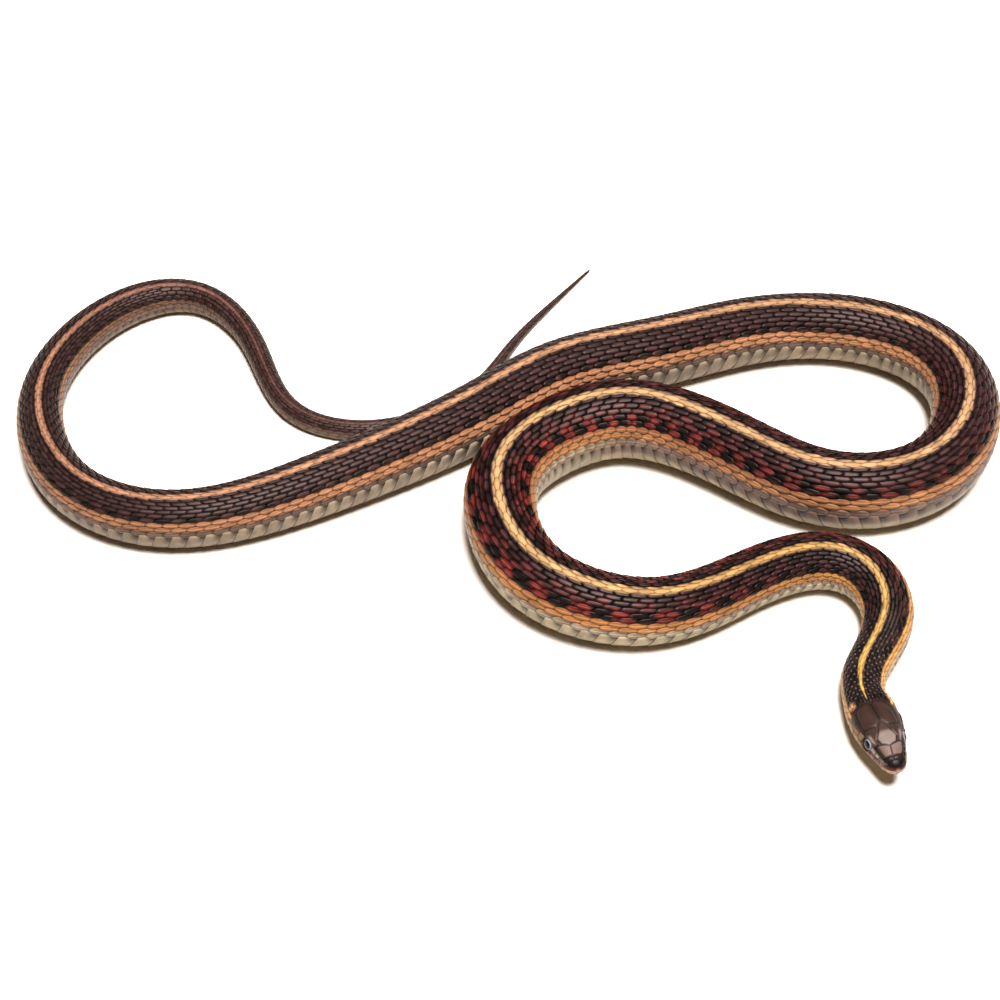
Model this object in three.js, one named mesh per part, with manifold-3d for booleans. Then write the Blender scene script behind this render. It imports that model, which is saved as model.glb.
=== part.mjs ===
// A garter snake at life size, lying in loops on a flat floor with its head a little raised.
// Millimetres, +Z up, floor at z = 0. +X is the snake's right-hand end of the loops seen from
// the front, +Y is away from the viewer, and the origin is under the middle of the loops.

import * as THREE from "three";
import { mergeVertices } from "three/addons/utils/BufferGeometryUtils.js";
import Module from "manifold-3d";

const wasm = await Module();
wasm.setup();

// Route of the body's middle line on the floor, from the back of the head to the tail tip:
// the control points of a uniform cubic B-spline that starts and ends on the first and last.
const NECK_BEND = [
  [76.5, -61.5], [76.5, -56], [80, -50], [83.5, -44], [85, -36.5], [81.5, -27.5], [73, -23.5],
  [63.5, -25.5],
];
const FRONT_LOOP = [
  [53.5, -30.5], [33.5, -43.5], [4.5, -34.5], [-3, -5.5], [8.5, 10], [29.5, 20.5],
];
const RIGHT_LOOP = [
  [51.5, 9.5], [68, -4.5], [86.5, -7], [104.5, 1.5], [112.5, 23.5], [106, 41.5], [86, 51.5],
  [62, 50],
];
const LONG_REACH = [
  [38.5, 40], [13.5, 34], [-4.5, 18.5], [-23.5, 7], [-43, -3.5], [-62.5, -12],
];
const LEFT_LOOP = [
  [-81.5, -13], [-100, -3.5], [-109.5, 16], [-111, 37.5], [-98.5, 61], [-76.5, 70.5],
];
const TAIL_SWEEP = [
  [-60, 52], [-54, 24.5], [-30.5, 17], [-6, 30], [2, 51], [13, 66.5], [23.5, 81],
];
const ROUTE = [
  ...NECK_BEND, ...FRONT_LOOP, ...RIGHT_LOOP, ...LONG_REACH, ...LEFT_LOOP, ...TAIL_SWEEP,
];

// Half the body's width at a distance along the route: a slender neck, the stout middle of the
// trunk, and from the vent, 603 mm behind the head, the tapering tail
const HALF_WIDTHS = [
  [0, 4.6], [12, 4.9], [30, 5.9], [45, 6.15], [62, 6.25], [80, 6.75], [103, 7.5], [134, 8.2],
  [165, 8.6], [185, 8.7], [206, 8.5], [240, 8.2], [268, 8.05], [300, 7.75], [330, 7.6],
  [360, 7.9], [391, 8.1], [453, 7.15], [490, 6.35], [515, 6.05], [545, 5.5], [567, 4.95],
  [600, 4.35], [618, 3.65], [634, 3.05], [659, 2.55], [700, 2.1], [737, 1.1], [769, 0.3],
];

// Body height over half width, just behind the head and further back
const NECK_HEIGHT = 1.9;
const BODY_HEIGHT = 2.2;
const FULL_HEIGHT_FROM = 60;

// The body's outline as shares of half width and of height, from the ridge of the back down
// one side to the edge of the belly, which lies flat on the floor
const OUTLINE = [
  [0, 1], [0.4, 0.962], [0.74, 0.86], [0.94, 0.71], [1, 0.54], [0.94, 0.34], [0.74, 0.165],
  [0.42, 0],
];
const BELLY_POINTS = 2;

// The neck lifts off the floor towards the head and leans to the snake's right with it
const LIFT_LENGTH = 19.5;
const HEAD_LIFT = 1.2;
const HEAD_LEAN = THREE.MathUtils.degToRad(4);
const HEAD_PITCH = THREE.MathUtils.degToRad(7);

// Belly scutes: each overlaps the one behind it with a step, and rests on a flat behind it
const STEP_HEIGHT = 0.35;
const STEP_LENGTH = 0.4;
const RELIEF_LIMIT = 0.12;
const FLAT_SHARE = 0.45;
const BODY_SCUTE = 8;
const TAIL_SCUTE = 6;
const SCUTES_PER_LENGTH = 6;
const BODY_LENGTHS = 12;
const NECK_END = 27;
const GAP = 0.3;
const TAIL_LENGTHS = 4;
const TAIL_SCUTES_PER_LENGTH = 7;
const TIP_HALF_WIDTH = 0.35;

// Head sections in its own frame, x forward from the back of the head and z up from the middle
// of its height: [x, half width, top, bottom]
const HEAD_SECTIONS = [
  [-1.2, 4.6, 4.3, -4.3], [0, 4.7, 4.3, -4.3], [1.5, 4.95, 4.3, -4.3], [3.2, 5.2, 4.3, -4.2],
  [5.2, 5.35, 4.2, -4.05], [7.4, 5.3, 4.05, -3.8], [9.6, 5, 3.8, -3.55], [11.4, 4.5, 3.5, -3.4], [13, 4, 3.2, -3.2],
  [14.8, 3.4, 2.75, -3.05], [16.6, 2.95, 2.25, -2.85], [18.1, 2.5, 1.7, -2.6],
  [19.1, 1.9, 1.1, -2.3], [19.8, 0.95, 0.3, -1.7],
];
const HEAD_POINTS = 18;
const HEAD_SQUARENESS = 2.35;
const HEAD_MIDDLE = 4.3;
const HEAD_HEADING = THREE.MathUtils.degToRad(-78.5);
// The head turns aside from the neck, so its back is cut square to the neck's own direction
const HEAD_TURN = THREE.MathUtils.degToRad(11.5);
const HEAD_X = 76.5;
const HEAD_Y = -61.5;

// The line of the mouth from the snout back to its corner, then the back of the jaw: [x, z]
const MOUTH_LINE = [
  [20.6, -1.45], [18.6, -1.5], [16.4, -1.65], [13.6, -1.75], [11, -1.7], [8.6, -1.35],
  [6.2, -0.85],
];
const JAW_BACK = [[4.6, -1.9], [3, -5.2]];
const LIP_GAP = 0.3;
const JAW_INSET = 0.25;
const CHIN_SHORTENING = 0.975;

// Head plates stand this proud of the skin, with a narrow groove between neighbours
const PLATE_RISE = 0.22;
const GROOVE = 0.14;

// Plates on the crown, outlines of the left side's in plan: [x, y]
const CROWN_PLATES = {
  frontal: [[15.1, 0], [14.9, 1.35], [12.6, 1.05], [10.4, 0.9], [9.7, 0]],
  parietal: [
    [9.4, 0.05], [10.1, 0.95], [10.4, 2.6], [9.3, 3.7], [6.4, 3.6], [4.2, 2.5], [3.2, 1.1],
    [3.5, 0.05],
  ],
  supraocular: [[15, 1.55], [14.8, 3], [12.8, 3.9], [10.8, 3.7], [10.6, 1.1], [12.6, 1.25]],
  prefrontal: [[17.2, 0.05], [17.3, 1.6], [16.6, 2.6], [15, 3.3], [15.1, 1.5], [15.3, 0.05]],
  internasal: [[18.7, 0.05], [18.6, 1.1], [17.8, 1.9], [17.5, 1.5], [17.4, 0.05]],
};

// Plates on the cheek in side view, both sides alike: [x, z]
const CHEEK_PLATES = {
  nasal: [[19, 0.4], [18.7, 1.5], [17.6, 1.9], [16.8, 1.6], [16.8, 0.3], [18, 0]],
  loreal: [[16.6, 0.4], [16.6, 1.7], [15.8, 1.8], [15.7, 0.3]],
  preocular: [[15.5, 0.2], [15.6, 1.9], [14.8, 2.2], [14.4, 1], [14.5, 0.1]],
  postocular: [[11.4, 0.2], [11.2, 2.6], [9.6, 2.5], [9.4, 0.3]],
  anteriorTemporal: [[9.2, 0.3], [9.3, 2.4], [6.8, 2.5], [6.5, 0.6]],
  posteriorTemporal: [[6.3, 0.7], [6.5, 2.6], [4, 2.5], [3.8, 0.5]],
};
const UPPER_LIP_SUTURES = [18.7, 17.4, 16, 14.5, 12.7, 10.6, 8.4, 6.4];
const UPPER_LIP_HEIGHT = 1.55;
const LOWER_LIP_SUTURES = [18.2, 16.7, 15.1, 13.4, 11.5, 9.4, 7];
const LOWER_LIP_HEIGHT = 1.1;
const CHEEK_REACH = 9;

// Eyes: flattened balls set in sockets, the nostrils pits in the nasal plates
const EYE_X = 12.9;
const EYE_Y = 3.25;
const EYE_Z = 0.75;
const EYE_RADIUS = 1.45;
const EYE_DEPTH = 0.95;
const EYE_TOE_IN = THREE.MathUtils.degToRad(12);
const NOSTRIL = [17.9, 2.75, 0.85];
const NOSTRIL_RADIUS = 0.36;

const FINISHES = {
  crown: { color: "#4a2f2a", roughness: 0.4 },
  chin: { color: "#d9c9a2", roughness: 0.5 },
  eye: { color: "#1c1a18", roughness: 0.08 },
  back: { color: "#3a2622", roughness: 0.5 },
  tail: { color: "#55382f", roughness: 0.55 },
};

const SAMPLES_PER_SPAN = 24;

// Uniform cubic B-spline through phantom end points, sampled with its running length
function sampleRoute(points) {
  const flip = (a, b) => [2 * a[0] - b[0], 2 * a[1] - b[1]];
  const last = points.length - 1;
  const knots = [flip(points[0], points[1]), ...points, flip(points[last], points[last - 1])];
  const samples = [];
  for (let i = 0; i < points.length - 1; i++) {
    for (let j = 0; j < SAMPLES_PER_SPAN; j++) {
      samples.push(splinePoint(knots.slice(i, i + 4), j / SAMPLES_PER_SPAN));
    }
  }
  samples.push(splinePoint(knots.slice(last - 1, last + 3), 1));
  let travelled = 0;
  return samples.map((point, i) => {
    if (i > 0) travelled += point.distanceTo(samples[i - 1]);
    return { point, travelled };
  });
}

function splinePoint(corners, t) {
  const weights = [
    (1 - t) ** 3 / 6,
    (3 * t ** 3 - 6 * t ** 2 + 4) / 6,
    (-3 * t ** 3 + 3 * t ** 2 + 3 * t + 1) / 6,
    t ** 3 / 6,
  ];
  const point = new THREE.Vector2();
  corners.forEach(([x, y], k) => point.add(new THREE.Vector2(x, y).multiplyScalar(weights[k])));
  return point;
}

const track = sampleRoute(ROUTE);
const TOTAL_LENGTH = track[track.length - 1].travelled;

function trackPoint(distance) {
  let i = track.findIndex((sample) => sample.travelled >= distance);
  if (i < 0) i = track.length - 1;
  if (i === 0) i = 1;
  const before = track[i - 1];
  const after = track[i];
  const share = (distance - before.travelled) / (after.travelled - before.travelled);
  return before.point.clone().lerp(after.point, share);
}

// Value of a table of [place, value] pairs, on a smooth curve without overshoot
function smoothTable(table, place) {
  const last = table.length - 1;
  if (place <= table[0][0]) return table[0][1];
  if (place >= table[last][0]) return table[last][1];
  const i = table.findIndex(([p]) => p > place) - 1;
  const slope = (k) => (table[k + 1][1] - table[k][1]) / (table[k + 1][0] - table[k][0]);
  const bend = (k) => {
    if (k <= 0 || k >= last) return slope(Math.min(Math.max(k, 0), last - 1));
    const a = slope(k - 1);
    const b = slope(k);
    return a * b <= 0 ? 0 : (2 * a * b) / (a + b);
  };
  const run = table[i + 1][0] - table[i][0];
  const t = (place - table[i][0]) / run;
  return (
    (2 * t ** 3 - 3 * t ** 2 + 1) * table[i][1] +
    (t ** 3 - 2 * t ** 2 + t) * run * bend(i) +
    (-2 * t ** 3 + 3 * t ** 2) * table[i + 1][1] +
    (t ** 3 - t ** 2) * run * bend(i + 1)
  );
}

// One cross-section of the body. The relief draws in the belly's points for a scute's front edge.
function bodyRing(distance, relief) {
  const centre = trackPoint(distance);
  const step = 0.5;
  const ahead = trackPoint(Math.min(distance + step, TOTAL_LENGTH));
  const behind = trackPoint(Math.max(distance - step, 0));
  const forward = ahead.sub(behind).normalize();
  const free = Math.max(0, 1 - distance / LIFT_LENGTH);
  const slope = (-2 * HEAD_LIFT * free) / LIFT_LENGTH;
  const tangent = new THREE.Vector3(forward.x, forward.y, slope).normalize();
  const right = new THREE.Vector3(forward.y, -forward.x, 0);
  const up = new THREE.Vector3().crossVectors(right, tangent);
  const lean = HEAD_LEAN * free ** 2;
  const halfWidth = smoothTable(HALF_WIDTHS, distance);
  const grown = THREE.MathUtils.smoothstep(distance, 0, FULL_HEIGHT_FROM);
  const height = halfWidth * THREE.MathUtils.lerp(NECK_HEIGHT, BODY_HEIGHT, grown);
  const depth = Math.min(relief, halfWidth * RELIEF_LIMIT);
  const side = OUTLINE.map(([across, share], k) => {
    const isBelly = k >= OUTLINE.length - BELLY_POINTS;
    const inset = isBelly ? depth : 0;
    return [across * halfWidth - inset * 0.6, share * height + inset * (share === 0 ? 1 : 0.3)];
  });
  const outline = [...side, ...side.slice(1).reverse().map(([l, z]) => [-l, z])];
  return outline.map(([l, z]) => {
    const turned = new THREE.Vector2(l, z - height / 2).rotateAround(new THREE.Vector2(), lean);
    const point = new THREE.Vector3(centre.x, centre.y, HEAD_LIFT * free ** 2 + height / 2);
    point.addScaledVector(right, turned.x).addScaledVector(up, turned.y);
    point.z = Math.max(point.z, 0);
    return point;
  });
}

// Closed skin over a run of rings with the same number of points, ends closed by fans
function loft(rings) {
  const positions = [];
  const triangle = (a, b, c) => positions.push(...a.toArray(), ...b.toArray(), ...c.toArray());
  const size = rings[0].length;
  for (let i = 0; i + 1 < rings.length; i++) {
    for (let j = 0; j < size; j++) {
      const k = (j + 1) % size;
      triangle(rings[i][j], rings[i + 1][k], rings[i + 1][j]);
      triangle(rings[i][j], rings[i][k], rings[i + 1][k]);
    }
  }
  const first = rings[0];
  const final = rings[rings.length - 1];
  for (let j = 1; j + 1 < size; j++) {
    triangle(first[0], first[j + 1], first[j]);
    triangle(final[0], final[j], final[j + 1]);
  }
  return bareGeometry(positions);
}

function bareGeometry(positions) {
  const geometry = new THREE.BufferGeometry();
  geometry.setAttribute("position", new THREE.Float32BufferAttribute(positions, 3));
  return mergeVertices(geometry, 1e-4);
}

// Rings of a run of scutes: front edge drawn in, start of the flat, and rear edge
function scuteRings(start, end, pitch) {
  const rings = [];
  const count = Math.max(1, Math.round((end - start) / pitch));
  const length = (end - start) / count;
  for (let i = 0; i < count; i++) {
    const front = start + i * length;
    rings.push(bodyRing(front + (i > 0 ? STEP_LENGTH : 0), STEP_HEIGHT));
    rings.push(bodyRing(front + length * (1 - FLAT_SHARE), 0));
    rings.push(bodyRing(front + length, 0));
  }
  return rings;
}

function toManifold(geometry) {
  const clean = geometry.clone();
  clean.deleteAttribute("normal");
  clean.deleteAttribute("uv");
  const merged = mergeVertices(clean, 1e-4);
  const triVerts = new Uint32Array(merged.index.array);
  const vertProperties = new Float32Array(merged.attributes.position.array);
  return new wasm.Manifold(new wasm.Mesh({ numProp: 3, vertProperties, triVerts }));
}

// Back to three.js, keeping only the largest closed surface
function toGeometry(solid) {
  const bodies = solid.decompose();
  const largest = bodies.reduce((a, b) => (b.volume() > a.volume() ? b : a));
  const mesh = largest.getMesh();
  const geometry = new THREE.BufferGeometry();
  geometry.setAttribute("position", new THREE.BufferAttribute(mesh.vertProperties, 3));
  geometry.setIndex(new THREE.BufferAttribute(mesh.triVerts, 1));
  return geometry;
}

// The head's form, or its plates' outer skin when grown
function headForm(grow, inset = 0, shortening = 1) {
  const rings = HEAD_SECTIONS.map(([x, halfWidth, top, bottom], i) => {
    const width = halfWidth + grow - inset;
    const middle = THREE.MathUtils.lerp(bottom, top, 0.48);
    const end = i === HEAD_SECTIONS.length - 1 ? grow : i === 0 ? -grow : 0;
    const points = [];
    for (let j = 0; j < HEAD_POINTS; j++) {
      const angle = Math.PI / 2 - (j * 2 * Math.PI) / HEAD_POINTS;
      const across = Math.sign(Math.cos(angle)) * Math.abs(Math.cos(angle)) ** (2 / HEAD_SQUARENESS);
      const rise = Math.sign(Math.sin(angle)) * Math.abs(Math.sin(angle)) ** (2 / HEAD_SQUARENESS);
      const reach = rise > 0 ? top - middle + grow : middle - bottom + grow - inset;
      points.push(new THREE.Vector3(x * shortening + end, -across * width, middle + rise * reach));
    }
    return points;
  });
  return toManifold(loft(rings));
}

// A block with the given outline, standing across the plan or across the side view
function planBlock(outline, low, high) {
  const shape = new THREE.Shape(outline.map(([x, y]) => new THREE.Vector2(x, y)));
  const block = new THREE.ExtrudeGeometry(shape, { depth: high - low, bevelEnabled: false });
  return toManifold(block.translate(0, 0, low));
}

function sideBlock(outline, near, far) {
  const shape = new THREE.Shape(outline.map(([x, z]) => new THREE.Vector2(x, z)));
  const block = new THREE.ExtrudeGeometry(shape, { depth: far - near, bevelEnabled: false });
  return toManifold(block.rotateX(Math.PI / 2).translate(0, far, 0));
}

const mirrored = (outline) => outline.map(([x, y]) => [x, -y]).reverse();

// Outline drawn in by half a groove, so that neighbours keep one between them
function withGroove(outline) {
  const count = outline.length;
  const centre = outline.reduce(([a, b], [x, y]) => [a + x / count, b + y / count], [0, 0]);
  return outline.map(([x, y]) => {
    const away = Math.hypot(x - centre[0], y - centre[1]);
    const share = 1 - GROOVE / 2 / away;
    return [centre[0] + (x - centre[0]) * share, centre[1] + (y - centre[1]) * share];
  });
}

function mouthHeight(x) {
  const line = [...MOUTH_LINE].reverse();
  return smoothTable(line, x);
}

// A lip plate between two sutures, standing above or hanging below the line of the mouth
function lipOutline(front, back, from, to) {
  const ahead = front - GROOVE / 2;
  const behind = back + GROOVE / 2;
  const corners = [
    [behind, mouthHeight(behind) + from], [ahead, mouthHeight(ahead) + from],
    [ahead, mouthHeight(ahead) + to], [behind, mouthHeight(behind) + to],
  ];
  return to > from ? corners : corners.reverse();
}

function crownPlates() {
  const outlines = [];
  for (const [name, outline] of Object.entries(CROWN_PLATES)) {
    if (name === "frontal") {
      outlines.push([...outline, ...mirrored(outline.slice(1, -1))]);
    } else {
      outlines.push(outline, mirrored(outline));
    }
  }
  return outlines.map((outline) => planBlock(withGroove(outline), 0.4, CHEEK_REACH));
}

function cheekPlates() {
  const outlines = Object.values(CHEEK_PLATES).map(withGroove);
  for (let i = 0; i + 1 < UPPER_LIP_SUTURES.length; i++) {
    const [front, back] = [UPPER_LIP_SUTURES[i], UPPER_LIP_SUTURES[i + 1]];
    outlines.push(lipOutline(front, back, 0, UPPER_LIP_HEIGHT));
  }
  return outlines.map((outline) => sideBlock(outline, -CHEEK_REACH, CHEEK_REACH));
}

function lowerLipPlates() {
  const plates = [];
  for (let i = 0; i + 1 < LOWER_LIP_SUTURES.length; i++) {
    const [front, back] = [LOWER_LIP_SUTURES[i], LOWER_LIP_SUTURES[i + 1]];
    const outline = lipOutline(front, back, -LOWER_LIP_HEIGHT, 0);
    plates.push(sideBlock(outline, -CHEEK_REACH, CHEEK_REACH));
  }
  return plates;
}

// Rostral plate at the tip of the snout
function rostralPlate() {
  return planBlock(
    [[21, -1], [21, 1], [19.3, 1.35], [18.9, 0.9], [18.9, -0.9], [19.3, -1.35]],
    -CHEEK_REACH, CHEEK_REACH,
  );
}

function raised(skin, plates) {
  return skin.intersect(wasm.Manifold.union(plates));
}

// All of the head below the line of the mouth, or above the same line moved up by the gap
function belowMouth(shift) {
  const line = MOUTH_LINE.map(([x, z]) => [x, z + shift]);
  const back = JAW_BACK.map(([x, z]) => [x - shift, z]);
  return sideBlock([...line, ...back, [20.6, -6]].reverse(), -CHEEK_REACH, CHEEK_REACH);
}

function ball(radius, depth, x, y, z, turn) {
  const geometry = new THREE.SphereGeometry(radius, 16, 10);
  geometry.rotateX(Math.PI / 2);
  geometry.scale(1, depth / radius, 1);
  return geometry.rotateZ(turn).translate(x, y, z);
}

function eyeball(side, grow) {
  const turn = -side * EYE_TOE_IN;
  return ball(EYE_RADIUS + grow, EYE_DEPTH + grow, EYE_X, side * EYE_Y, EYE_Z, turn);
}

function makeHead() {
  const plates = [...crownPlates(), ...cheekPlates(), rostralPlate()];
  let head = headForm(0).add(raised(headForm(PLATE_RISE), plates));
  head = head.subtract(belowMouth(LIP_GAP));
  for (const side of [-1, 1]) {
    head = head.subtract(toManifold(eyeball(side, GAP)));
    const [x, y, z] = NOSTRIL;
    const pit = ball(NOSTRIL_RADIUS, NOSTRIL_RADIUS * 2, x, side * y, z, 0);
    head = head.subtract(toManifold(pit));
  }
  return toGeometry(head.trimByPlane([Math.cos(HEAD_TURN), -Math.sin(HEAD_TURN), 0], 0));
}

function makeLowerJaw() {
  const skin = headForm(0, JAW_INSET, CHIN_SHORTENING);
  const proud = headForm(PLATE_RISE, JAW_INSET, CHIN_SHORTENING);
  return toGeometry(skin.add(raised(proud, lowerLipPlates())).intersect(belowMouth(0)));
}

function finish({ color, roughness }) {
  return new THREE.MeshStandardMaterial({ color, roughness, metalness: 0 });
}

function named(name, geometry, look) {
  const mesh = new THREE.Mesh(geometry, finish(look));
  mesh.name = name;
  return mesh;
}

const snake = new THREE.Group();

// The head turns to its heading, then noses up, then leans over
const headGroup = new THREE.Group();
headGroup.position.set(HEAD_X, HEAD_Y, HEAD_LIFT + HEAD_MIDDLE);
headGroup.rotation.order = "ZYX";
headGroup.rotation.set(HEAD_LEAN, -HEAD_PITCH, HEAD_HEADING);
headGroup.add(named("head", makeHead(), FINISHES.crown));
headGroup.add(named("lower_jaw", makeLowerJaw(), FINISHES.chin));
headGroup.add(named("eye_left", eyeball(1, 0), FINISHES.eye));
headGroup.add(named("eye_right", eyeball(-1, 0), FINISHES.eye));
snake.add(headGroup);

snake.add(named("neck", loft(scuteRings(GAP, NECK_END, BODY_SCUTE)), FINISHES.back));

const bodyLength = BODY_SCUTE * SCUTES_PER_LENGTH;
for (let i = 0; i < BODY_LENGTHS; i++) {
  const start = NECK_END + i * bodyLength;
  const rings = scuteRings(start + GAP, start + bodyLength, BODY_SCUTE);
  const name = `body_${String(i + 1).padStart(2, "0")}`;
  snake.add(named(name, loft(rings), FINISHES.back));
}

const tailStart = NECK_END + BODY_LENGTHS * bodyLength;
const tailLength = TAIL_SCUTE * TAIL_SCUTES_PER_LENGTH;
for (let i = 0; i < TAIL_LENGTHS; i++) {
  const start = tailStart + i * tailLength;
  const isTip = i === TAIL_LENGTHS - 1;
  const end = isTip ? TOTAL_LENGTH - TIP_HALF_WIDTH : start + tailLength;
  snake.add(named(`tail_${i + 1}`, loft(scuteRings(start + GAP, end, TAIL_SCUTE)), FINISHES.tail));
}

// The origin lies under the middle of the whole animal
const middle = new THREE.Box3().setFromObject(snake, true).getCenter(new THREE.Vector3());
snake.position.set(-middle.x, -middle.y, 0);

export default snake;
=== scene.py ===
# %% [markdown]
# # A garter snake, life size
# The snake lies in four loose bends, its head low at the right front. The solids of the frame
# give its length, its girth and its pose. This lesson dresses them: one skin from snout to tail,
# a coat of overlapping scales that follows it, and a head with its plates, lips and eyes.

# %% Load the frame
import math

import bpy
import numpy as np
from mathutils import Euler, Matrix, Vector


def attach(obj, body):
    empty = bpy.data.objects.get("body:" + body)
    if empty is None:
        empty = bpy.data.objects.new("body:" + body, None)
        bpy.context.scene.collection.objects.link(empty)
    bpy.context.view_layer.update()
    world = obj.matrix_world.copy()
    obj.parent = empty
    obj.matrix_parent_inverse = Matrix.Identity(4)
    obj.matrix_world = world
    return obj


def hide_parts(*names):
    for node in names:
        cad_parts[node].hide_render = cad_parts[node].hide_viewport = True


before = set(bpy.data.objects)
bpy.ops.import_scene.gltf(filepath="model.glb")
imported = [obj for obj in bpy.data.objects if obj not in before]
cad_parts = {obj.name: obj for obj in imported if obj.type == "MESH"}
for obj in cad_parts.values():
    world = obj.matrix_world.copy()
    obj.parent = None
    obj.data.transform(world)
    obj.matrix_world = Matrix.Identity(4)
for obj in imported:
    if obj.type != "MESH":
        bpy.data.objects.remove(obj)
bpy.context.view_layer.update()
bpy.ops.object.select_all(action="DESELECT")

MM = 0.001

# %% [markdown]
# ## Camera
# The picture was taken from a little under half a metre, looking down on the snake at about half
# a right angle. A moderate telephoto lens keeps the near and far bends almost the same size. The
# camera is set by its distance, tilt and lens, so that the same framing can be found again.

# %% Camera
CAMERA_TILT = math.radians(47.5)
CAMERA_DISTANCE = 465.1 * MM
AIM = Vector((-1.5, 0.21, 0)) * MM

camera_data = bpy.data.cameras.new("camera")
camera_data.lens = 72
camera_data.sensor_width = 36
camera_data.clip_start = 0.01
camera = bpy.data.objects.new("camera", camera_data)
bpy.context.scene.collection.objects.link(camera)
back = Vector((0, -math.cos(CAMERA_TILT), math.sin(CAMERA_TILT)))
camera.location = AIM + back * CAMERA_DISTANCE
camera.rotation_euler = (math.pi / 2 - CAMERA_TILT, 0, 0)
bpy.context.scene.camera = camera
print("camera at", [round(c, 3) for c in camera.location])

# %% [markdown]
# ## The line of the back, laid out flat
# A snake is one long line with a section that changes along it. The line is a smooth curve through
# listed corner points, in millimetres, the same as in the solids. A B-spline keeps its bends even,
# where a curve that passes through every point would wobble.

# %% Route of the body
NECK_BEND = [
    [76.5, -61.5], [76.5, -56], [80, -50], [83.5, -44], [85, -36.5], [81.5, -27.5], [73, -23.5],
    [63.5, -25.5],
]
FRONT_LOOP = [[53.5, -30.5], [33.5, -43.5], [4.5, -34.5], [-3, -5.5], [8.5, 10], [29.5, 20.5]]
RIGHT_LOOP = [
    [51.5, 9.5], [68, -4.5], [86.5, -7], [104.5, 1.5], [112.5, 23.5], [106, 41.5],
    [86, 51.5], [62, 50],
]
LONG_REACH = [[38.5, 40], [13.5, 34], [-4.5, 18.5], [-23.5, 7], [-43, -3.5], [-62.5, -12]]
LEFT_LOOP = [[-81.5, -13], [-100, -3.5], [-109.5, 16], [-111, 37.5], [-98.5, 61], [-76.5, 70.5]]
TAIL_SWEEP = [[-60, 52], [-54, 24.5], [-30.5, 17], [-6, 30], [2, 51], [13, 66.5], [23.5, 81]]
ROUTE = NECK_BEND + FRONT_LOOP + RIGHT_LOOP + LONG_REACH + LEFT_LOOP + TAIL_SWEEP
# The frame's origin lies under the middle of the animal
ORIGIN = np.array([1.5, -0.21])


def spline(corners, steps=24):
    """Uniform cubic B-spline that starts at the first corner and ends at the last."""
    c = np.array(corners, float)
    c = np.vstack([2 * c[0] - c[1], c, 2 * c[-1] - c[-2]])
    t = (np.arange(steps) / steps)[:, None]
    weights = [
        (1 - t) ** 3 / 6,
        (3 * t**3 - 6 * t**2 + 4) / 6,
        (-3 * t**3 + 3 * t**2 + 3 * t + 1) / 6,
        t**3 / 6,
    ]
    spans = [sum(w * c[i + k] for k, w in enumerate(weights)) for i in range(len(c) - 3)]
    return np.vstack([*spans, c[-2]])


line = spline(ROUTE) - ORIGIN
travelled = np.r_[0, np.cumsum(np.hypot(*np.diff(line, axis=0).T))]
heading = np.gradient(line, axis=0)
heading /= np.linalg.norm(heading, axis=1)[:, None]
LENGTH = travelled[-1]
print("neck to tail tip", round(LENGTH), "mm")


# %% [markdown]
# ## Girth, section and roll
# The body is thickest in the middle and tapers to a thin tail. Its section is a high arch over a
# flat belly. The skin's place is told by two numbers: how far along the line, and how far round
# from the ridge of the back. The ridge doesn't stay on top: the body rolls a little in each bend,
# as the stripe in the picture shows.

# %% Section tables
HALF_WIDTHS = [
    [0, 4.6], [12, 4.9], [30, 5.9], [45, 6.15], [62, 6.25], [80, 6.75], [103, 7.5], [134, 8.2],
    [165, 8.6], [185, 8.7], [206, 8.5], [240, 8.2], [268, 8.05], [300, 7.75], [330, 7.6],
    [360, 7.9], [391, 8.1], [453, 7.15], [490, 6.35], [515, 6.05], [545, 5.5], [567, 4.95],
    [600, 4.35], [618, 3.65], [634, 3.05], [659, 2.55], [700, 2.1], [737, 1.1], [769, 0.3],
]
ROLL_DEGREES = [
    [-6, -12], [0, -13], [12, -16], [22, -13], [36, -11], [60, -9.5], [84, -7], [108, -2.5],
    [124, -4], [145, -6.5], [156, -6], [168, -1.5], [188, 1.5], [204, 5.5], [220, 5],
    [244, 0], [262, -4.5], [276, -2], [292, -1], [304, -1.5], [316, -4.5], [330, -4],
    [340, 0.5], [372, 4], [404, 7], [436, 5], [468, 2.5], [508, 3.5], [530, 8], [550, 5],
    [600, 10.5], [625, 3], [680, 6], [770, 5],
]
NECK_HEIGHT = 1.9
BODY_HEIGHT = 2.2
LIFT_LENGTH = 19.5
HEAD_LIFT = 1.2


def smooth_table(table, places):
    """Value at each place on a smooth curve through [place, value] pairs, without overshoot."""
    x, y = np.array(table, float).T
    slope = np.diff(y) / np.diff(x)
    a, b = slope[:-1], slope[1:]
    inner = np.where(a * b > 0, 2 * a * b / np.where(a + b == 0, 1, a + b), 0)
    bend = np.r_[slope[0], inner, slope[-1]]
    p = np.clip(places, x[0], x[-1])
    i = np.clip(np.searchsorted(x, p, side="right") - 1, 0, len(x) - 2)
    run = x[i + 1] - x[i]
    t = (p - x[i]) / run
    return (
        (2 * t**3 - 3 * t**2 + 1) * y[i]
        + (t**3 - 2 * t**2 + t) * run * bend[i]
        + (-2 * t**3 + 3 * t**2) * y[i + 1]
        + (t**3 - t**2) * run * bend[i + 1]
    )


def ease(start, end, value):
    """0 before start, 1 after end, smooth in between."""
    t = np.clip((value - start) / (end - start), 0, 1)
    return t * t * (3 - 2 * t)


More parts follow.
